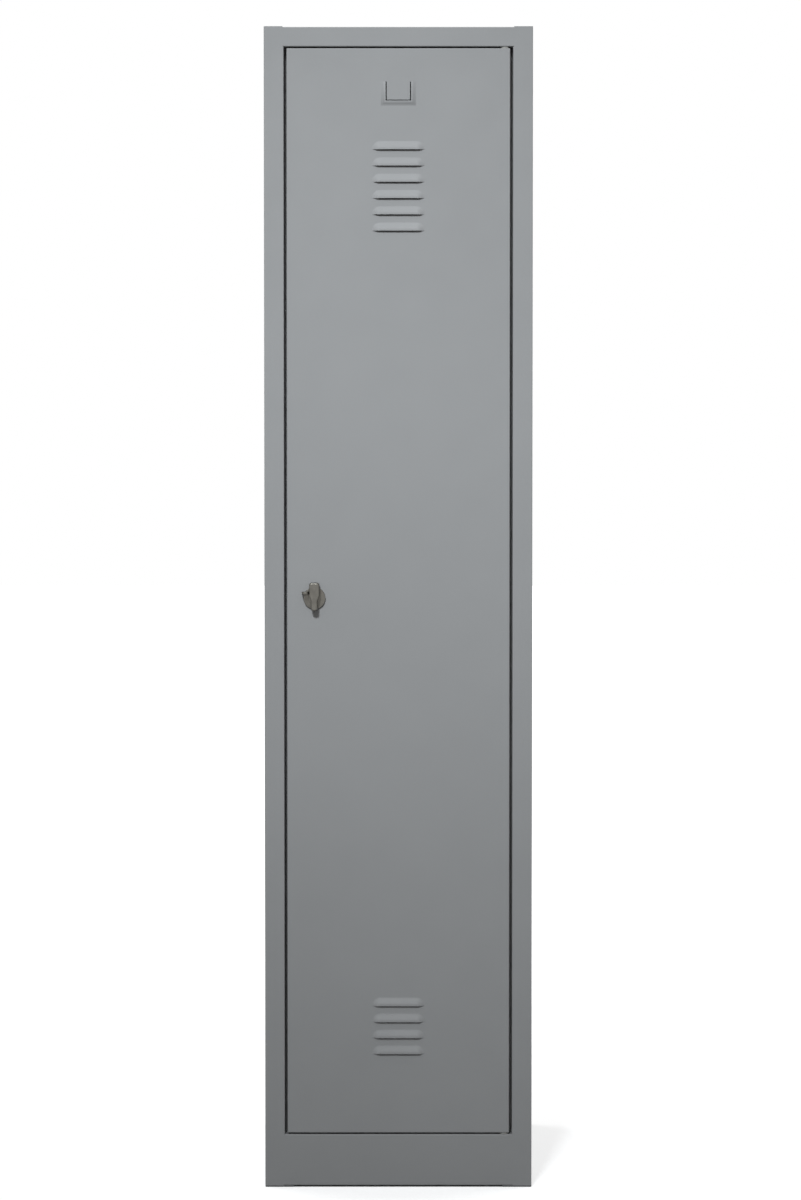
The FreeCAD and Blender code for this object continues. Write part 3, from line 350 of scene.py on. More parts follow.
class Finish:
    """A procedural material: a Principled shader with patterns on Object coordinates."""

    def __init__(self, name, metallic=0.0):
        self.material = bpy.data.materials.new(name)
        self.material.use_nodes = True
        self.nodes = self.material.node_tree.nodes
        self.links = self.material.node_tree.links
        self.shader = self.nodes["Principled BSDF"]
        self.shader.inputs["Metallic"].default_value = metallic
        self.place = self.nodes.new("ShaderNodeTexCoord").outputs["Object"]

    def noise(self, size, detail=2.0, stretch=(1, 1, 1)):
        """Cloudy grain with lumps of about one size, drawn out along the axes by stretch."""
        mapping = self.nodes.new("ShaderNodeMapping")
        mapping.inputs["Scale"].default_value = [1 / amount for amount in stretch]
        self.links.new(self.place, mapping.inputs["Vector"])
        texture = self.nodes.new("ShaderNodeTexNoise")
        texture.inputs["Scale"].default_value = 1 / size
        texture.inputs["Detail"].default_value = detail
        self.links.new(mapping.outputs["Vector"], texture.inputs["Vector"])
        return texture.outputs["Fac"]

    def spread(self, source, low, high, from_low=0.3, from_high=0.7):
        """Maps a pattern to a range of values."""
        node = self.nodes.new("ShaderNodeMapRange")
        node.inputs["From Min"].default_value = from_low
        node.inputs["From Max"].default_value = from_high
        node.inputs["To Min"].default_value = low
        node.inputs["To Max"].default_value = high
        self.links.new(source, node.inputs["Value"])
        return node.outputs["Result"]

    def feed(self, socket, source):
        """Gives a socket a number, a colour or the result of another node."""
        if isinstance(source, float):
            socket.default_value = source
        elif isinstance(source, tuple):
            socket.default_value = (*source, 1)
        else:
            self.links.new(source, socket)

    def blend(self, share, first, second, kind="MIX"):
        """Mixes two colours or colour patterns."""
        node = self.nodes.new("ShaderNodeMix")
        node.data_type = "RGBA"
        node.blend_type = kind
        self.feed(node.inputs["Factor"], share)
        colours = [socket for socket in node.inputs if socket.type == "RGBA"]
        self.feed(colours[0], first)
        self.feed(colours[1], second)
        return next(socket for socket in node.outputs if socket.type == "RGBA")

    def paint_colour(self, source):
        """Sends a colour pattern to the shader."""
        self.links.new(source, self.shader.inputs["Base Color"])

    def paint_roughness(self, source):
        """Sends a roughness pattern to the shader."""
        self.links.new(source, self.shader.inputs["Roughness"])

    def relief(self, *layers):
        """Stacks bumps: pairs of a height pattern and its depth."""
        normal = None
        for height, depth in layers:
            bump = self.nodes.new("ShaderNodeBump")
            bump.inputs["Strength"].default_value = 1.0
            bump.inputs["Distance"].default_value = depth
            self.links.new(height, bump.inputs["Height"])
            if normal is not None:
                self.links.new(normal, bump.inputs["Normal"])
            normal = bump.outputs["Normal"]
        self.links.new(normal, self.shader.inputs["Normal"])


def shade(colour, factor):
    """A colour made lighter or darker."""
    return tuple(part * factor for part in colour)


COAT_CLOUDS = 350 * MM
COAT_SPECKS = 0.9 * MM
COAT_PATCHES = 60 * MM
COAT_WAVES = 300 * MM
COAT_PEEL = 1.6 * MM
COAT_DARK = 0.975
COAT_LIGHT = 1.025
COAT_SPECK_DARK = (0.97, 0.97, 0.97)
COAT_SPECK_LIGHT = (1.0, 1.0, 1.0)
COAT_SMOOTHEST = 0.6
COAT_ROUGHEST = 0.68
COAT_WAVE_DEPTH = 0.25 * MM
COAT_PEEL_DEPTH = 0.03 * MM


def powder_coat(name, colour):
    """Grey powder coat: faint clouds in the colour, fine orange peel and a softly wavy sheet."""
    coat = Finish(name)
    clouds = coat.spread(coat.noise(COAT_CLOUDS, detail=3.0), 0, 1)
    specks = coat.spread(coat.noise(COAT_SPECKS, detail=1.0), 0, 1)
    cloudy = coat.blend(clouds, shade(colour, COAT_DARK), shade(colour, COAT_LIGHT))
    speckled = coat.blend(specks, COAT_SPECK_DARK, COAT_SPECK_LIGHT)
    coat.paint_colour(coat.blend(1.0, cloudy, speckled, kind="MULTIPLY"))
    coat.paint_roughness(coat.spread(coat.noise(COAT_PATCHES, detail=4.0), COAT_SMOOTHEST, COAT_ROUGHEST))
    waves = coat.noise(COAT_WAVES, detail=1.0)
    coat.relief((waves, COAT_WAVE_DEPTH), (coat.noise(COAT_PEEL), COAT_PEEL_DEPTH))
    return coat.material


METAL_CLOUDS = 9 * MM
METAL_PATCHES = 3 * MM
METAL_DARK = 0.88
METAL_LIGHT = 1.1
METAL_SMOOTHER = 0.8
METAL_ROUGHER = 1.25
METAL_DEPTH = 0.01 * MM


def plated(name, colour, roughness, grain):
    """Plated or cast metal: cloudy colour and roughness and a fine grain."""
    metal = Finish(name, metallic=1.0)
    clouds = metal.spread(metal.noise(METAL_CLOUDS, detail=3.0), 0, 1)
    metal.paint_colour(metal.blend(clouds, shade(colour, METAL_DARK), shade(colour, METAL_LIGHT)))
    patches = metal.noise(METAL_PATCHES, detail=4.0)
    metal.paint_roughness(metal.spread(patches, roughness * METAL_SMOOTHER, roughness * METAL_ROUGHER))
    metal.relief((metal.noise(grain), METAL_DEPTH))
    return metal.material


CHROME_MARKS = 0.8 * MM
CHROME_STRETCH = (60, 1, 1)
CHROME_DARK = 0.94
CHROME_SMOOTHEST = 0.08
CHROME_ROUGHEST = 0.2
CHROME_DEPTH = 0.004 * MM


def drawn_chrome(name, colour):
    """Chromed tube with faint marks along its length."""
    chrome = Finish(name, metallic=1.0)
    marks = chrome.noise(CHROME_MARKS, detail=3.0, stretch=CHROME_STRETCH)
    chrome.paint_colour(chrome.blend(chrome.spread(marks, 0, 1), shade(colour, CHROME_DARK), colour))
    chrome.paint_roughness(chrome.spread(marks, CHROME_SMOOTHEST, CHROME_ROUGHEST))
    chrome.relief((marks, CHROME_DEPTH))
    return chrome.material


PLASTIC_CLOUDS = 12 * MM
PLASTIC_PATCHES = 4 * MM
PLASTIC_DARK = 0.9
PLASTIC_LIGHT = 1.1
PLASTIC_SMOOTHER = 0.85
PLASTIC_ROUGHER = 1.15
PLASTIC_DEPTH = 0.02 * MM


def moulded(name, colour, roughness, grain):
    """Moulded plastic or rubber with a fine grain."""
    plastic = Finish(name)
    clouds = plastic.spread(plastic.noise(PLASTIC_CLOUDS, detail=3.0), 0, 1)
    plastic.paint_colour(plastic.blend(clouds, shade(colour, PLASTIC_DARK), shade(colour, PLASTIC_LIGHT)))
    patches = plastic.noise(PLASTIC_PATCHES)
    plastic.paint_roughness(plastic.spread(patches, roughness * PLASTIC_SMOOTHER,
                                           roughness * PLASTIC_ROUGHER))
    plastic.relief((plastic.noise(grain), PLASTIC_DEPTH))
    return plastic.material


# The finish of each material slot
GREY_PAINT = (0.314, 0.318, 0.320)
finishes = {
    "case_paint": powder_coat("grey_powder_coat_case", GREY_PAINT),
    "door_paint": powder_coat("grey_powder_coat_door", GREY_PAINT),
    "zinc": plated("zinc_plating", (0.55, 0.56, 0.57), 0.34, 1.2 * MM),
    "rail_chrome": drawn_chrome("chromed_tube", (0.72, 0.73, 0.74)),
    "lock_nickel": plated("dull_nickel", (0.126, 0.12, 0.107), 0.42, 0.7 * MM),
    "nylon": moulded("grey_nylon", (0.30, 0.298, 0.28), 0.45, 0.8 * MM),
    "grey_plastic": moulded("dark_grey_plastic", (0.05, 0.052, 0.055), 0.4, 0.7 * MM),
    "foot_plastic": moulded("grey_foot_plastic", (0.12, 0.122, 0.125), 0.5, 0.9 * MM),
    "rubber": moulded("black_rubber", (0.025, 0.025, 0.025), 0.62, 0.6 * MM),
}
for node in frame["nodes"].values():
    for holder in node.material_slots:
        holder.material = finishes[holder.material.name]

# Pressed door: a folded pan with louvres and a card holder

RETURN = 14 * MM
LOUVRE_STRAIGHT = 56 * MM
LOUVRE_RISE = 14 * MM
LOUVRE_DEPTH = 4 * MM
LOUVRE_NOSE = 2 * MM
LOUVRE_ROOT = 0.4 * MM
LOUVRE_SINK = 0.1 * MM
LOUVRE_WALL = 0.95 * MM
LOUVRE_SLOT = 0.8 * MM
LOUVRE_PITCH = 25 * MM
LOUVRE_DROP = 0.2 * MM
LOUVRE_STEPS = 10
LOUVRE_ROWS = ((1611 * MM, 6), (284 * MM, 4))
louvre_left = -LOUVRE_STRAIGHT / 2
louvre_right = LOUVRE_STRAIGHT / 2


def slope_of_hood(inner):
    """The outline of a hood from the side: how far out and how far up each corner is."""
    wall = LOUVRE_WALL if inner else 0
    nose = LOUVRE_DEPTH - (GAUGE if inner else 0)
    back = -(GAUGE + LOUVRE_ROOT) if inner else -LOUVRE_ROOT
    outline = [(back, 0), (nose, 0)]
    for step in range(LOUVRE_STEPS + 1):
        share = step / LOUVRE_STEPS
        out = (LOUVRE_DEPTH + LOUVRE_SINK) * (1 - ease(share)) - LOUVRE_SINK
        up = LOUVRE_NOSE + (LOUVRE_RISE - LOUVRE_NOSE) * share
        outline.append((min(out - wall, nose), up))
    outline.append((back, LOUVRE_RISE))
    return outline


def louvre_row(name, height, count, inner):
    """A row of closed hoods: a straight middle and two ends turned a quarter round."""
    drop = LOUVRE_DROP if inner else 0
    outline = [(louvre_left, front - out, height + up) for out, up in slope_of_hood(inner)]
    hood = trace(name, outline)
    push(hood, lambda middle, normal: True, (LOUVRE_STRAIGHT, 0, 0))
    for end, angle in ((louvre_left, QUARTER_TURN), (louvre_right, -QUARTER_TURN)):
        spin_end(hood, lambda middle, normal: abs(middle.x - end) < TINY and abs(normal.x) > ALONG,
                 (end, front, height), (0, 1, 0), angle, LOUVRE_STEPS)
    tidy(hood)
    shift(hood, (0, 0, -drop))
    apply_modifier(hood, "ARRAY", count=count, use_relative_offset=False, use_constant_offset=True,
                   constant_offset_displace=(0, 0, -LOUVRE_PITCH))
    return hood


CARD_WIDTH = 56 * MM
CARD_FOOT = 1677.5 * MM
CARD_TALL = 38 * MM
CARD_FADE = 12 * MM
CARD_LIP = 10 * MM
CARD_LIFT = 2.8 * MM
CARD_BENT = 7.6 * MM
CARD_SLIT = 1.6 * MM
CARD_STEPS = 10
CARD_ROOT = 0.6 * MM
CARD_SINK = 0.03 * MM
CARD_END = 0.04
CARD_HOLD = 0.3 * MM
card_left = -CARD_WIDTH / 2
card_right = CARD_WIDTH / 2
card_top = CARD_FOOT + CARD_TALL


def lip_outline():
    """The outline of the card lip: how far from its bend and how far out each corner is."""
    outer = [(-CARD_ROOT, -CARD_SINK), (0, -CARD_SINK)]
    for step in range(1, CARD_STEPS + 1):
        share = step / CARD_STEPS
        outer.append((CARD_BENT * share, (CARD_LIFT + CARD_SINK) * ease(share) - CARD_SINK))
    outer.append((CARD_LIP - CARD_SLIT, CARD_LIFT))
    inner = [(along, out - GAUGE + 2 * CARD_SINK) for along, out in reversed(outer)]
    return outer + inner


def mitre(piece, corner, across, keep_low):
    """Cuts a strip off at a slanting plane through a corner and leaves it open there."""
    with editing(piece):
        bpy.ops.mesh.select_all(action="SELECT")
        bpy.ops.mesh.bisect(plane_co=corner, plane_no=(across, 0, -1), clear_inner=keep_low,
                            clear_outer=not keep_low)


def card_lip():
    """The lip of the card holder: one strip down the left, along the foot and up the right."""
    lips = []
    fade_end = card_top - CARD_FADE
    outline = lip_outline()
    for name, edge, inwards in (("left_card_lip", card_left, 1), ("right_card_lip", card_right, -1)):
        side = trace(name, [(edge + inwards * along, front - out, card_top) for along, out in outline])
        push(side, lambda middle, normal: True, (0, 0, -CARD_FADE))
        push(side, lambda middle, normal: abs(middle.z - fade_end) < TINY and abs(normal.z) > ALONG,
             (0, 0, CARD_FADE - CARD_TALL))
        mitre(side, (edge, 0, CARD_FOOT), inwards, keep_low=False)
        with editing(side):
            pick(side, "VERT", lambda place, normal: abs(place.z - card_top) < TINY)
            bpy.ops.transform.resize(value=(1, CARD_END, 1), center_override=(edge, front, card_top))
        lips.append(side)
    low = trace("low_card_lip", [(card_left, front - out, CARD_FOOT + along) for along, out in outline])
    push(low, lambda middle, normal: True, (CARD_WIDTH, 0, 0))
    for edge, inwards in ((card_left, 1), (card_right, -1)):
        mitre(low, (edge, 0, CARD_FOOT), inwards, keep_low=True)
    strip = group(low, *lips)
    tidy(strip)
    return strip


def card_windows():
    """The blocks that cut the opening of the card holder out of the skin."""
    near = front - GAUGE
    far = front + 2 * GAUGE
    left = card_left + CARD_HOLD
    right = card_right - CARD_HOLD
    foot = CARD_FOOT + CARD_HOLD
    top = card_top - CARD_HOLD
    return [
        block("left_window", (left, near, foot), (card_left + CARD_LIP, far, top)),
        block("right_window", (card_right - CARD_LIP, near, foot), (right, far, top)),
        block("low_window", (left, near, foot), (right, far, CARD_FOOT + CARD_LIP)),
    ]


BARREL_HOLE = 10 * MM
BUSH_HOLE = 5 * MM


def pressed_door():
    """The door pan with its louvres, card holder and holes."""
    low = Vector((door_low.x, front, door_low.z))
    high = Vector(door_high)
    pan = block("pressed_door", low, high)
    with editing(pan):
        pick(pan, "FACE", lambda middle, normal: normal.y > ALONG)
        bpy.ops.mesh.inset(thickness=RETURN)
        bpy.ops.mesh.delete(type="FACE")

    def on_box(middle, run):
        walls = [abs(middle[axis] - side[axis]) < TINY for axis in range(3) for side in (low, high)]
        return sum(walls) >= 2

    soften(pan, BEND, on_box, BEND_ROUNDS)
    apply_modifier(pan, "SOLIDIFY", thickness=GAUGE, offset=-1, use_even_offset=True)
    hoods = [louvre_row(f"hoods_{count}", height, count, False) for height, count in LOUVRE_ROWS]
    hollows = [louvre_row(f"hollows_{count}", height, count, True) for height, count in LOUVRE_ROWS]
    slots = []
    for height, count in LOUVRE_ROWS:
        slot = block(f"slots_{count}", (louvre_left, front - LOUVRE_ROOT, height - LOUVRE_SLOT),
                     (louvre_right, front + GAUGE + LOUVRE_ROOT, height + LOUVRE_DROP))
        apply_modifier(slot, "ARRAY", count=count, use_relative_offset=False, use_constant_offset=True,
                       constant_offset_displace=(0, 0, -LOUVRE_PITCH))
        slots.append(slot)
    weld(pan, group(*hoods))
    cut(pan, group(*hollows), group(*slots), *card_windows())
    weld(pan, card_lip())
    bush_low, bush_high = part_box("upper_hinge_bush")
    pivot_x = (bush_low.x + bush_high.x) / 2
    pivot_y = (bush_low.y + bush_high.y) / 2
    cut(pan, rod("barrel_hole", (lock_x, front - RETURN, lock_z), (lock_x, front + RETURN / 2, lock_z),
                 BARREL_HOLE))
    for height in (door_low.z, door_high.z):
        cut(pan, rod("bush_hole", (pivot_x, pivot_y, height - RETURN / 2),
                     (pivot_x, pivot_y, height + RETURN / 2), BUSH_HOLE))
    dress(pan, "door_skin")


# Lock: rosette with the fixed padlock eye, grip, washer, nut, tongue and its screw

PADLOCK_EYE = 3.5 * MM
EYE_OUT = 11 * MM
EYE_DROP = 14 * MM
LOCK_SIDES = 72
ROSETTE = 17 * MM
ROSETTE_THICK = 4 * MM
ROSETTE_RIM = 2.4 * MM
ROSETTE_DISH = 0.6 * MM
ROSETTE_SOFT = 1.2 * MM
STAPLE_HALF = 5.5 * MM
STAPLE_ROUND = 5 * MM
STAPLE_FOOT = 6 * MM
STAPLE_THICK = 4 * MM
STAPLE_SOFT = 0.8 * MM
BARREL = 9.9 * MM
THREAD_DEPTH = 0.7 * MM
THREAD_PITCH = 1.5 * MM
SPINDLE = 5 * MM
SPINDLE_FIT = 0.05 * MM
SPINDLE_SQUARE = 7 * MM
housing_low, housing_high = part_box("lock_housing")
eye_y = front - EYE_OUT


def from_lock(x, z):
    """How far a place is from the lock's axis."""
    return math.hypot(x - lock_x, z - lock_z)


def threaded_barrel(start, end):
    """The threaded barrel, ridge after ridge."""
    ridges = round((end - start) / THREAD_PITCH)
    step = (end - start) / ridges
    outline = [(0, start)]
    for ridge in range(ridges):
        outline.append((BARREL - THREAD_DEPTH, start + ridge * step))
        outline.append((BARREL, start + (ridge + 0.5) * step))
    outline.append((BARREL - THREAD_DEPTH, end))
    outline.append((0, end))
    return turned("threaded_barrel", outline, lock_x, lock_z)


def padlock_staple():
    """The fixed padlock eye beside the grip."""
    middle_x = lock_x - EYE_DROP
    foot = lock_z + STAPLE_FOOT
    staple = block("padlock_staple", (middle_x - STAPLE_HALF, housing_low.y, foot),
                   (middle_x + STAPLE_HALF, front, foot + STAPLE_THICK))
    soften(staple, STAPLE_ROUND, lambda middle, run: abs(run.z) > ALONG and middle.y < eye_y, CORNER_ROUNDS)
    soften(staple, STAPLE_SOFT, lambda middle, run: abs(run.z) < ACROSS and abs(middle.y - front) > TINY)
    cut(staple, rod("staple_hole", (middle_x, eye_y, foot - STAPLE_THICK),
                    (middle_x, eye_y, foot + 2 * STAPLE_THICK), PADLOCK_EYE))
    return staple


def lock_rosette():
    """The lock housing: a dished rosette, the fixed eye and the threaded barrel."""
    face = front - ROSETTE_THICK
    rosette = rod("lock_rosette", (lock_x, front, lock_z), (lock_x, face, lock_z), ROSETTE, LOCK_SIDES)
    with editing(rosette):
        pick(rosette, "FACE", lambda middle, normal: normal.y < -ALONG)
        bpy.ops.mesh.inset(thickness=ROSETTE_RIM)
        bpy.ops.mesh.extrude_region_move(TRANSFORM_OT_translate={"value": (0, ROSETTE_DISH, 0)})
    soften(rosette, ROSETTE_SOFT, lambda middle, run: abs(middle.y - face) < TINY
           and from_lock(middle.x, middle.z) > ROSETTE - ROSETTE_RIM / 2, RIM_ROUNDS)
    weld(rosette, threaded_barrel(front - ROSETTE_THICK / 2, housing_high.y), padlock_staple())
    cut(rosette, rod("spindle_bore", (lock_x, face - ROSETTE, lock_z),
                     (lock_x, housing_high.y + ROSETTE, lock_z), SPINDLE + SPINDLE_FIT))
    dress(rosette, "lock_housing")


GRIP_GAP = 0.3 * MM
GRIP_UP = 24 * MM
GRIP_DOWN = 19.5 * MM
GRIP_UPPER = 8 * MM
GRIP_LOWER = 5 * MM
GRIP_TAPER = 4 * MM
GRIP_ROUND = 4 * MM
GRIP_SOFT = 2.5 * MM
GRIP_BOSS = 9 * MM
GRIP_BOSS_DEPTH = 2 * MM


def latch_grip():
    """The turning grip with its padlock eye, boss, spindle and square."""
    handle_low, handle_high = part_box("lock_handle")
    back = front - ROSETTE_THICK - GRIP_GAP
    right_side = [
        (GRIP_UPPER, GRIP_UP),
        (GRIP_UPPER, GRIP_TAPER),
        (GRIP_LOWER, -GRIP_TAPER),
        (GRIP_LOWER, -GRIP_DOWN),
    ]
    left_side = [(-x, z) for x, z in reversed(right_side)]
    grip = trace("latch_grip", [(lock_x + x, back, lock_z + z) for x, z in right_side + left_side])
    push(grip, lambda middle, normal: True, (0, handle_low.y - back, 0))
    tidy(grip)
    soften(grip, GRIP_ROUND,
           lambda middle, run: abs(run.y) > ALONG and abs(middle.z - lock_z) > 2 * GRIP_TAPER, CORNER_ROUNDS)
    soften(grip, GRIP_SOFT, lambda middle, run: abs(middle.y - handle_low.y) < TINY, RIM_ROUNDS)
    boss = rod("grip_boss", (lock_x, back, lock_z), (lock_x, back - GRIP_BOSS_DEPTH, lock_z),
               GRIP_BOSS, LOCK_SIDES)
    spindle = rod("spindle", (lock_x, back - GRIP_BOSS_DEPTH / 2, lock_z), (lock_x, housing_high.y, lock_z),
                  SPINDLE)
    half = SPINDLE_SQUARE / 2
    square = block("spindle_square", (lock_x - half, housing_high.y - half, lock_z - half),
                   (lock_x + half, handle_high.y, lock_z + half))
    weld(grip, boss, spindle, square)
    eye_z = lock_z - EYE_DROP
    cut(grip, rod("grip_eye", (lock_x - EYE_DROP, eye_y, eye_z), (lock_x + EYE_DROP, eye_y, eye_z),
                  PADLOCK_EYE))
    dress(grip, "lock_handle")


HOLE_IN_NUT = 10 * MM
NUT_CORNER = 15.2 * MM
NUT_FLATS = 26 * MM
NUT_SIDES = 6
NUT_SLOPE = 1 * MM
NUT_FACE = 13.4 * MM
WASHER = 14 * MM
RIM_SOFT = 0.25 * MM


def lock_fixings():
    """The washer and the chamfered nut behind the door."""
    washer = turned("flat_washer", [
        (HOLE_IN_NUT, washer_low.y),
        (WASHER - RIM_SOFT, washer_low.y),
        (WASHER, washer_low.y + RIM_SOFT),
        (WASHER, washer_high.y - RIM_SOFT),
        (WASHER - RIM_SOFT, washer_high.y),
        (HOLE_IN_NUT, washer_high.y),
    ], lock_x, lock_z)
    dress(washer, "lock_washer")
    nut_low, nut_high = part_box("lock_nut")
    nut = rod("ring_nut", (lock_x, nut_low.y, lock_z), (lock_x, nut_high.y, lock_z),
              NUT_FLATS / 2 / math.cos(math.pi / NUT_SIDES), NUT_SIDES)
    ring = turned("nut_ring", [
        (HOLE_IN_NUT, nut_low.y),
        (NUT_FACE, nut_low.y),
        (NUT_CORNER, nut_low.y + NUT_SLOPE),
        (NUT_CORNER, nut_high.y - NUT_SLOPE),
        (NUT_FACE, nut_high.y),
        (HOLE_IN_NUT, nut_high.y),
    ], lock_x, lock_z)
    combine(nut, ring, "INTERSECT")
    dress(nut, "lock_nut")


CAM_CORNER = 5.4 * MM
CAM_SOFT = 0.4 * MM
CAM_HOLE = 3.55 * MM
CAM_SCREW = 2 * MM
CAM_SCREW_HEAD = 6 * MM


def lock_tongue():
    """The tongue that turns behind the frame, and the screw that holds it."""
    cam_low, cam_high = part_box("lock_cam")
    tongue = block("latch_tongue", cam_low, cam_high)
    soften(tongue, CAM_CORNER, lambda middle, run: abs(run.y) > ALONG, CORNER_ROUNDS)
    soften(tongue, CAM_SOFT, lambda middle, run: abs(run.y) < ACROSS, SMALL_ROUNDS)
    cut(tongue, block("tongue_hole", (lock_x - CAM_HOLE, cam_low.y - CAM_HOLE, lock_z - CAM_HOLE),
                      (lock_x + CAM_HOLE, cam_high.y + CAM_HOLE, lock_z + CAM_HOLE)))
    dress(tongue, "lock_cam")
    screw_low, screw_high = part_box("cam_screw")
    holder = screw("tongue_screw", (lock_x, screw_high.y, lock_z), (lock_x, cam_high.y, lock_z),
                   (lock_x, screw_low.y, lock_z), CAM_SCREW_HEAD, CAM_SCREW)
    dress(holder, "cam_screw")


# Rail: oval tube, sockets, screws and hooks

RAIL_WALL = 1.2 * MM
SOCKET_PLATE = 3 * MM
SOCKET_RIM = 2.3 * MM
SOCKET_FIT = 0.1 * MM
SOCKET_SOFT = 0.7 * MM
SCREW_SPREAD = 26 * MM
SCREW_SHANK = 2 * MM
SCREW_HEAD = 4 * MM
SCREW_HEAD_TALL = 2.2 * MM
SCREW_FIT = 0.1 * MM
rail_low, rail_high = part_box("clothes_rail")
rail_middle = (rail_low + rail_high) / 2


def grown(low, high, width):
    """The corners of a box made wider by one width all round its X direction."""
    more = Vector((0, width, width))
    return low - more, high + more


def oval_rail():
    """The rail, an oval tube open at both ends."""
    rail = oval_bar("oval_rail", rail_low, rail_high)
    with editing(rail):
        pick(rail, "FACE", lambda middle, normal: abs(normal.x) > ALONG)
        bpy.ops.mesh.delete(type="FACE")
    apply_modifier(rail, "SOLIDIFY", thickness=RAIL_WALL, offset=-1, use_even_offset=True)
    dress(rail, "clothes_rail")


def rail_cups():
    """The two moulded sockets that hold the ends of the rail."""
    cup_low, cup_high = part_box("rail_socket_left")
    plate_face = cup_low.x + SOCKET_PLATE
    cup = oval_bar("rail_cup_left", cup_low, (plate_face, cup_high.y, cup_high.z))
    collar_low, collar_high = grown(rail_low, rail_high, SOCKET_RIM)
    collar_low.x = cup_low.x + SOCKET_PLATE / 2
    collar_high.x = cup_high.x
    weld(cup, oval_bar("rail_collar", collar_low, collar_high))
    hole_low, hole_high = grown(rail_low, rail_high, SOCKET_FIT)
    hole_low.x = plate_face
    hole_high.x = cup_high.x + SOCKET_PLATE
    cut(cup, oval_bar("rail_hole", hole_low, hole_high))
    for side in (-1, 1):
        height = rail_middle.z + side * SCREW_SPREAD
        cut(cup, rod("screw_hole", (cup_low.x - SOCKET_PLATE, rail_middle.y, height),
                     (cup_high.x, rail_middle.y, height), SCREW_SHANK + SCREW_FIT))

    def on_rim(middle, run):
        at_mouth = abs(middle.x - cup_high.x) < TINY
        at_plate = abs(middle.x - plate_face) < TINY
        below_top = abs(middle.z - rail_middle.z) < cup_high.z - rail_middle.z
        near_edge = abs(middle.y - rail_middle.y) > cup_high.y - rail_middle.y - SOCKET_RIM
        return abs(run.x) < ACROSS and (at_mouth or at_plate and below_top and near_edge)

    soften(cup, SOCKET_SOFT, on_rim)
    other = copy_of(cup, "rail_cup_right")
    turn_about(other, (0, rail_middle.y, 0))
    dress(cup, "rail_socket_left")
    dress(other, "rail_socket_right")


def cross_screws():
    """The four screws of the rail sockets."""
    screws = []
    seat = rail_low.x
    screw_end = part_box("rail_screws")[0].x
    for side in (-1, 1):
        height = rail_middle.z + side * SCREW_SPREAD
        left = screw(f"cross_screw_{len(screws)}", (seat + SCREW_HEAD_TALL, rail_middle.y, height),
                     (seat, rail_middle.y, height), (screw_end, rail_middle.y, height),
                     SCREW_HEAD, SCREW_SHANK)
        right = copy_of(left, f"cross_screw_{len(screws) + 1}")
        turn_about(right, (0, rail_middle.y, 0))
        screws += [left, right]
    dress(group(*screws), "rail_screws")


HOOK_FIT = 0.25 * MM
HOOK_WALL = 3 * MM
HOOK_SOFT = 0.8 * MM
HOOK_STEM_THICK = 7.2 * MM
HOOK_STEM_WIDE = 15.2 * MM
HOOK_STEM = 22 * MM
HOOK_WIRE = 3 * MM
HOOK_ROUND = 10 * MM
HOOK_ROOT = 4 * MM
HOOK_TIP = 9 * MM
HOOK_BALL = 4 * MM
HOOK_SIDES = 24
HOOK_STEPS = 20


def hook_arm(name, side, bend_z):
    """One arm of a hook: a round bar bent up through half a turn, with a ball on its tip."""
    root_y = rail_middle.y + side * HOOK_ROOT
    tip_y = root_y + side * 2 * HOOK_ROUND
    arm = rod(name, (0, root_y, bend_z + HOOK_WIRE), (0, root_y, bend_z), HOOK_WIRE, HOOK_SIDES)
    spin_end(arm, lambda middle, normal: normal.z < -ALONG, (0, root_y + side * HOOK_ROUND, bend_z),
             (1, 0, 0), -side * HALF_TURN, HOOK_STEPS)
    push(arm, lambda middle, normal: normal.z > ALONG and abs(middle.y - tip_y) < HOOK_WIRE,
         (0, 0, HOOK_TIP))
    tidy(arm)
    bpy.ops.object.select_all(action="DESELECT")
    bpy.ops.mesh.primitive_uv_sphere_add(segments=HOOK_SIDES, ring_count=HOOK_SIDES // 2, radius=HOOK_BALL,
                                         location=(0, tip_y, bend_z + HOOK_TIP))
    weld(arm, settle(f"{name}_ball"))
    return arm


def coat_hooks():
    """The three sliding hooks: collar, stem and two arms each."""
    middle_low, middle_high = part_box("hook_middle")
    hole_low, hole_high = grown(rail_low, rail_high, HOOK_FIT)
    collar_low, collar_high = grown(rail_low, rail_high, HOOK_FIT + HOOK_WALL)
    collar_low.x = middle_low.x
    collar_high.x = middle_high.x
    hook = oval_bar("coat_hook_middle", collar_low, collar_high)
    soften(hook, HOOK_SOFT, lambda middle, run: abs(abs(middle.x) - middle_high.x) < TINY)
    bend_z = collar_low.z - HOOK_STEM
    stem = block("hook_stem", (-HOOK_STEM_THICK / 2, rail_middle.y - HOOK_STEM_WIDE / 2, bend_z),
                 (HOOK_STEM_THICK / 2, rail_middle.y + HOOK_STEM_WIDE / 2, collar_low.z + HOOK_WALL / 2))
    soften(stem, HOOK_SOFT, lambda middle, run: True)
    weld(hook, stem, hook_arm("rear_arm", 1, bend_z), hook_arm("front_arm", -1, bend_z))
    cut(hook, oval_bar("hook_hole", hole_low, hole_high))
    for name in ("left", "right"):
        low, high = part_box(f"hook_{name}")
        copy = copy_of(hook, f"coat_hook_{name}")
        shift(copy, ((low.x + high.x) / 2, 0, 0))
        dress(copy, f"hook_{name}")
    dress(hook, "hook_middle")


# Feet and bump stops

FOOT_THICK = 2.5 * MM
FOOT_CORNER = 3 * MM
FOOT_ROUNDS = 6
FOOT_SOFT = 0.5 * MM
FOOT_RIB = 3 * MM
FOOT_RIB_SOFT = 0.8 * MM


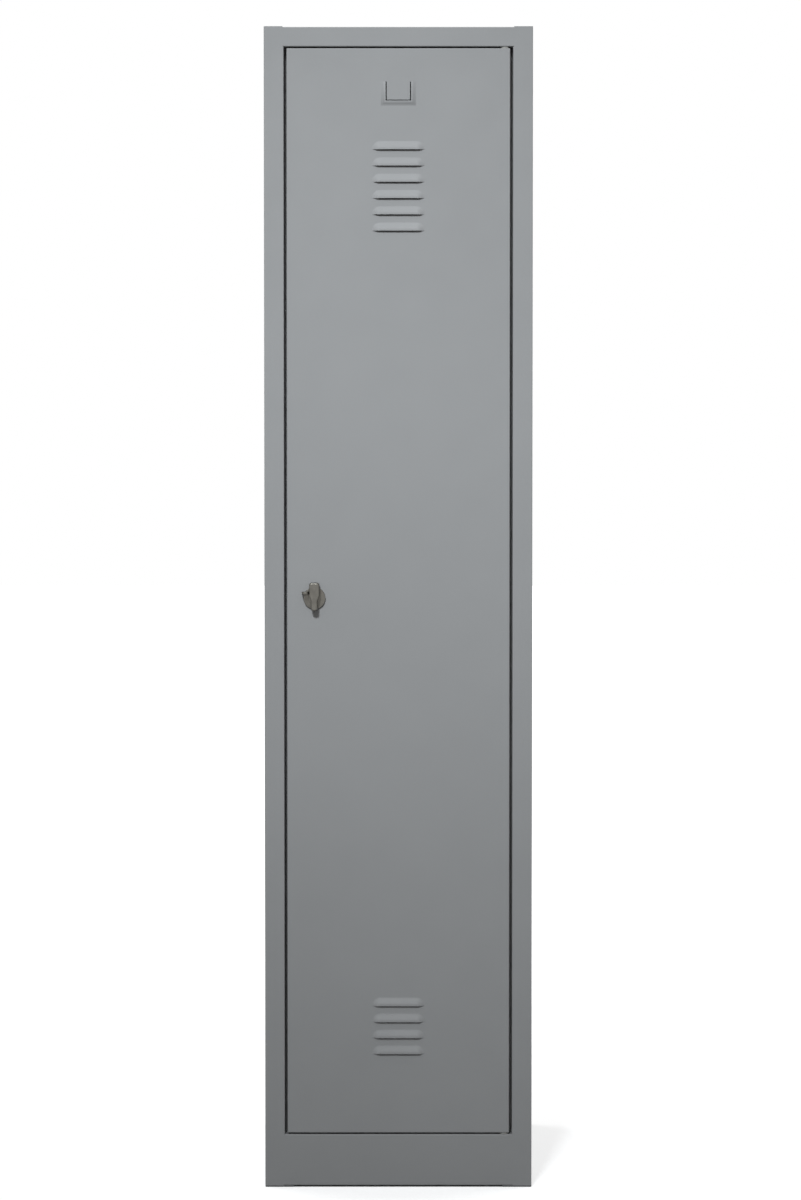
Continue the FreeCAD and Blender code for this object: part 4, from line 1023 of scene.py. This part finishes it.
def foot_pad(node):
    """A moulded foot: a rounded pad and the rib that grips the side sheet."""
    low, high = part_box(node)
    side = math.copysign(1, low.x)
    inner_y = high.y if low.y < 0 else low.y
    middle_y = (low.y + high.y) / 2
    pad = block(node.replace("foot", "foot_pad"), low, (high.x, high.y, low.z + FOOT_THICK))
    soften(pad, FOOT_CORNER, lambda middle, run: abs(run.z) > ALONG, FOOT_ROUNDS)
    soften(pad, FOOT_SOFT, lambda middle, run: abs(run.z) < ACROSS, SMALL_ROUNDS)
    outer_x = side * (-case_low.x - GAUGE)
    inner_x = outer_x - side * FOOT_RIB
    rib = block("foot_rib", (min(inner_x, outer_x), min(inner_y, middle_y), low.z + FOOT_THICK / 2),
                (max(inner_x, outer_x), max(inner_y, middle_y), high.z))
    soften(rib, FOOT_RIB_SOFT, lambda middle, run: middle.z > low.z + FOOT_THICK)
    weld(pad, rib)
    dress(pad, node)


BUMP_HEIGHTS = (250 * MM, 1050 * MM, 1600 * MM)
BUMP_ROUND = 1.8 * MM
BUMP_STEPS = 6


def bump_stops():
    """The three rubber stops on the lock side of the frame, rounded in front."""
    low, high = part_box("door_buffers")
    radius = (high.x - low.x) / 2
    outline = [(0, high.y), (radius, high.y)]
    for step in range(BUMP_STEPS + 1):
        angle = QUARTER_TURN * step / BUMP_STEPS
        inset = BUMP_ROUND * (1 - math.cos(angle))
        setback = BUMP_ROUND * (1 - math.sin(angle))
        outline.append((radius - inset, low.y + setback))
    outline.append((0, low.y))
    stop = turned("bump_stops", outline, (low.x + high.x) / 2, BUMP_HEIGHTS[0])
    others = []
    for height in BUMP_HEIGHTS[1:]:
        other = copy_of(stop, f"bump_stop_{len(others)}")
        shift(other, (0, 0, height - BUMP_HEIGHTS[0]))
        others.append(other)
    dress(group(stop, *others), "door_buffers")


# Ground welds at the ends of the sill

RELIEF_TALL = 6 * MM
RELIEF_DEEP = 3.2 * MM
WELD_SINK = 0.03 * MM
WELD_SOFT = 0.1 * MM


def sill_welds():
    """The ground welds that close the bend reliefs at both ends of the sill."""
    plinth_low, plinth_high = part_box("plinth_panel")
    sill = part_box("lower_pivot_plate")[1].z + GAUGE
    face = front + WELD_SINK
    for name, outer in (("left", plinth_low.x), ("right", plinth_high.x)):
        inner = outer - math.copysign(BEND, outer)
        bead = block(f"sill_weld_{name}", (min(inner, outer), face, sill - RELIEF_TALL),
                     (max(inner, outer), front + RELIEF_DEEP, sill))
        soften(bead, WELD_SOFT, lambda middle, run: abs(middle.y - face) < TINY)
        coat_piece(bead, "case_paint", "cabinet")


pressed_door()
sill_welds()
lock_rosette()
latch_grip()
lock_fixings()
lock_tongue()
oval_rail()
rail_cups()
cross_screws()
coat_hooks()
for corner in ("front_left", "front_right", "rear_left", "rear_right"):
    foot_pad(f"foot_{corner}")
bump_stops()

# Floor, light and camera

IMAGE_TALL = 1200
EYE = Vector((0.0033, -5.25, 1.093))
PITCH = math.asin(0.0354)
FOCAL_PIXELS = 3229
SENSOR = 36
FLOOR_SIZE = 60
FLOOR_EDGE = 1 * MM
FLOOR_GLOW = 0.5
FLOOR_NEAR = 0.5
FLOOR_FAR = 2.5
FLOOR_GREY = (0.18, 0.18, 0.18, 1)
FLOOR_WHITE = (0.9, 0.9, 0.9, 1)
FILL_LEVEL = 0.32
KEY_PLACE = (-1.2, -6.5, 5.8)
KEY_TARGET = (-0.02, -0.25, 1.31)
KEY_SIZE = 1.0
KEY_SPREAD = 21.2
KEY_POWER = 8.9
KEY_COLOUR = (0.92, 0.963, 1.0)
SIDE_OUT = 3.0
SIDE_BACK = 1.6
SIDE_UP = 2.2
SIDE_TARGET = (0, 0, 0.9)
SIDE_SIZE = 2.0
SIDE_SPREAD = 180
SIDE_POWER = 40
SIDE_COLOUR = (1, 1, 1)

bpy.ops.object.select_all(action="DESELECT")
bpy.ops.mesh.primitive_plane_add(size=FLOOR_SIZE, location=(0, 0, 0))
floor = bpy.context.active_object
floor.name = "studio_floor"


def calculate(tree, operation, *values):
    """A value worked out from other values and plain numbers."""
    node = tree.nodes.new("ShaderNodeMath")
    node.operation = operation
    for socket, value in zip(node.inputs, values):
        if isinstance(value, float):
            socket.default_value = value
        else:
            tree.links.new(value, socket)
    return node.outputs[0]


def seen_rays(tree):
    """One for rays from the camera and for rays that metal or glass sends on, zero for the rest."""
    rays = tree.nodes.new("ShaderNodeLightPath").outputs
    sent_on = calculate(tree, "MAXIMUM", rays["Is Glossy Ray"], rays["Is Transmission Ray"])
    return calculate(tree, "MAXIMUM", rays["Is Camera Ray"], sent_on)


def beside_case(tree, place):
    """One beside the case and zero under it, by the place on the floor."""
    parts = tree.nodes.new("ShaderNodeSeparateXYZ")
    tree.links.new(place, parts.inputs[0])
    outside = []
    for axis, half in (("X", -case_low.x), ("Y", -case_low.y)):
        distance = calculate(tree, "ABSOLUTE", parts.outputs[axis])
        outside.append(calculate(tree, "GREATER_THAN", distance, half - FLOOR_EDGE))
    return calculate(tree, "MAXIMUM", *outside)


def whiter_far_off(tree, place):
    """The floor's glow, which grows to white with the distance from the case."""
    distance = tree.nodes.new("ShaderNodeVectorMath")
    distance.operation = "LENGTH"
    tree.links.new(place, distance.inputs[0])
    whiter = tree.nodes.new("ShaderNodeMapRange")
    whiter.interpolation_type = "SMOOTHSTEP"
    whiter.inputs["From Min"].default_value = FLOOR_NEAR
    whiter.inputs["From Max"].default_value = FLOOR_FAR
    whiter.inputs["To Min"].default_value = FLOOR_GLOW
    whiter.inputs["To Max"].default_value = 1.0
    tree.links.new(distance.outputs["Value"], whiter.inputs["Value"])
    return whiter.outputs["Result"]


def studio_floor_finish():
    """A pale floor that looks white, keeps a faint shadow and is dark under the case."""
    material = bpy.data.materials.new("pale_floor")
    material.use_nodes = True
    tree = material.node_tree
    nodes = tree.nodes
    links = tree.links
    nodes.clear()
    output = nodes.new("ShaderNodeOutputMaterial")
    place = nodes.new("ShaderNodeTexCoord").outputs["Object"]
    grey = nodes.new("ShaderNodeBsdfDiffuse")
    grey.inputs["Color"].default_value = FLOOR_GREY
    white = nodes.new("ShaderNodeBsdfDiffuse")
    white.inputs["Color"].default_value = FLOOR_WHITE
    glow = nodes.new("ShaderNodeEmission")
    level = calculate(tree, "MULTIPLY", beside_case(tree, place), whiter_far_off(tree, place))
    links.new(level, glow.inputs["Strength"])
    bright = nodes.new("ShaderNodeAddShader")
    links.new(white.outputs[0], bright.inputs[0])
    links.new(glow.outputs[0], bright.inputs[1])
    choice = nodes.new("ShaderNodeMixShader")
    links.new(seen_rays(tree), choice.inputs[0])
    links.new(grey.outputs[0], choice.inputs[1])
    links.new(bright.outputs[0], choice.inputs[2])
    links.new(choice.outputs[0], output.inputs["Surface"])
    return material


def studio_world():
    """White behind the object, and an even fill of light from all round."""
    world = bpy.data.worlds.new("studio")
    bpy.context.scene.world = world
    world.use_nodes = True
    tree = world.node_tree
    sky = tree.nodes["Background"]
    level = tree.nodes.new("ShaderNodeMapRange")
    level.inputs["To Min"].default_value = FILL_LEVEL
    level.inputs["To Max"].default_value = 1.0
    tree.links.new(seen_rays(tree), level.inputs["Value"])
    tree.links.new(level.outputs["Result"], sky.inputs["Strength"])
    sky.inputs["Color"].default_value = (1, 1, 1, 1)


def soft_light(name, place, target, size, spread, power, colour):
    """A square studio lamp aimed at a point, with its beam's full angle in degrees."""
    bpy.ops.object.light_add(type="AREA", location=place)
    lamp = bpy.context.active_object
    lamp.name = name
    lamp.data.size = size
    lamp.data.spread = math.radians(spread)
    lamp.data.energy = power
    lamp.data.color = colour
    lamp.rotation_euler = (Vector(target) - Vector(place)).to_track_quat("-Z", "Y").to_euler()


floor.data.materials.append(studio_floor_finish())
studio_world()
soft_light("key_light", KEY_PLACE, KEY_TARGET, KEY_SIZE, KEY_SPREAD, KEY_POWER, KEY_COLOUR)
for side_name, side in (("left_light", -1), ("right_light", 1)):
    soft_light(side_name, (side * SIDE_OUT, SIDE_BACK, SIDE_UP), SIDE_TARGET, SIDE_SIZE, SIDE_SPREAD,
               SIDE_POWER, SIDE_COLOUR)

bpy.ops.object.camera_add(location=EYE, rotation=(QUARTER_TURN - PITCH, 0, 0))
camera = bpy.context.active_object
camera.name = "photo_camera"
camera.data.sensor_fit = "VERTICAL"
camera.data.sensor_height = SENSOR
camera.data.lens = FOCAL_PIXELS / IMAGE_TALL * SENSOR
bpy.context.scene.camera = camera
bpy.context.scene.view_settings.view_transform = "Standard"
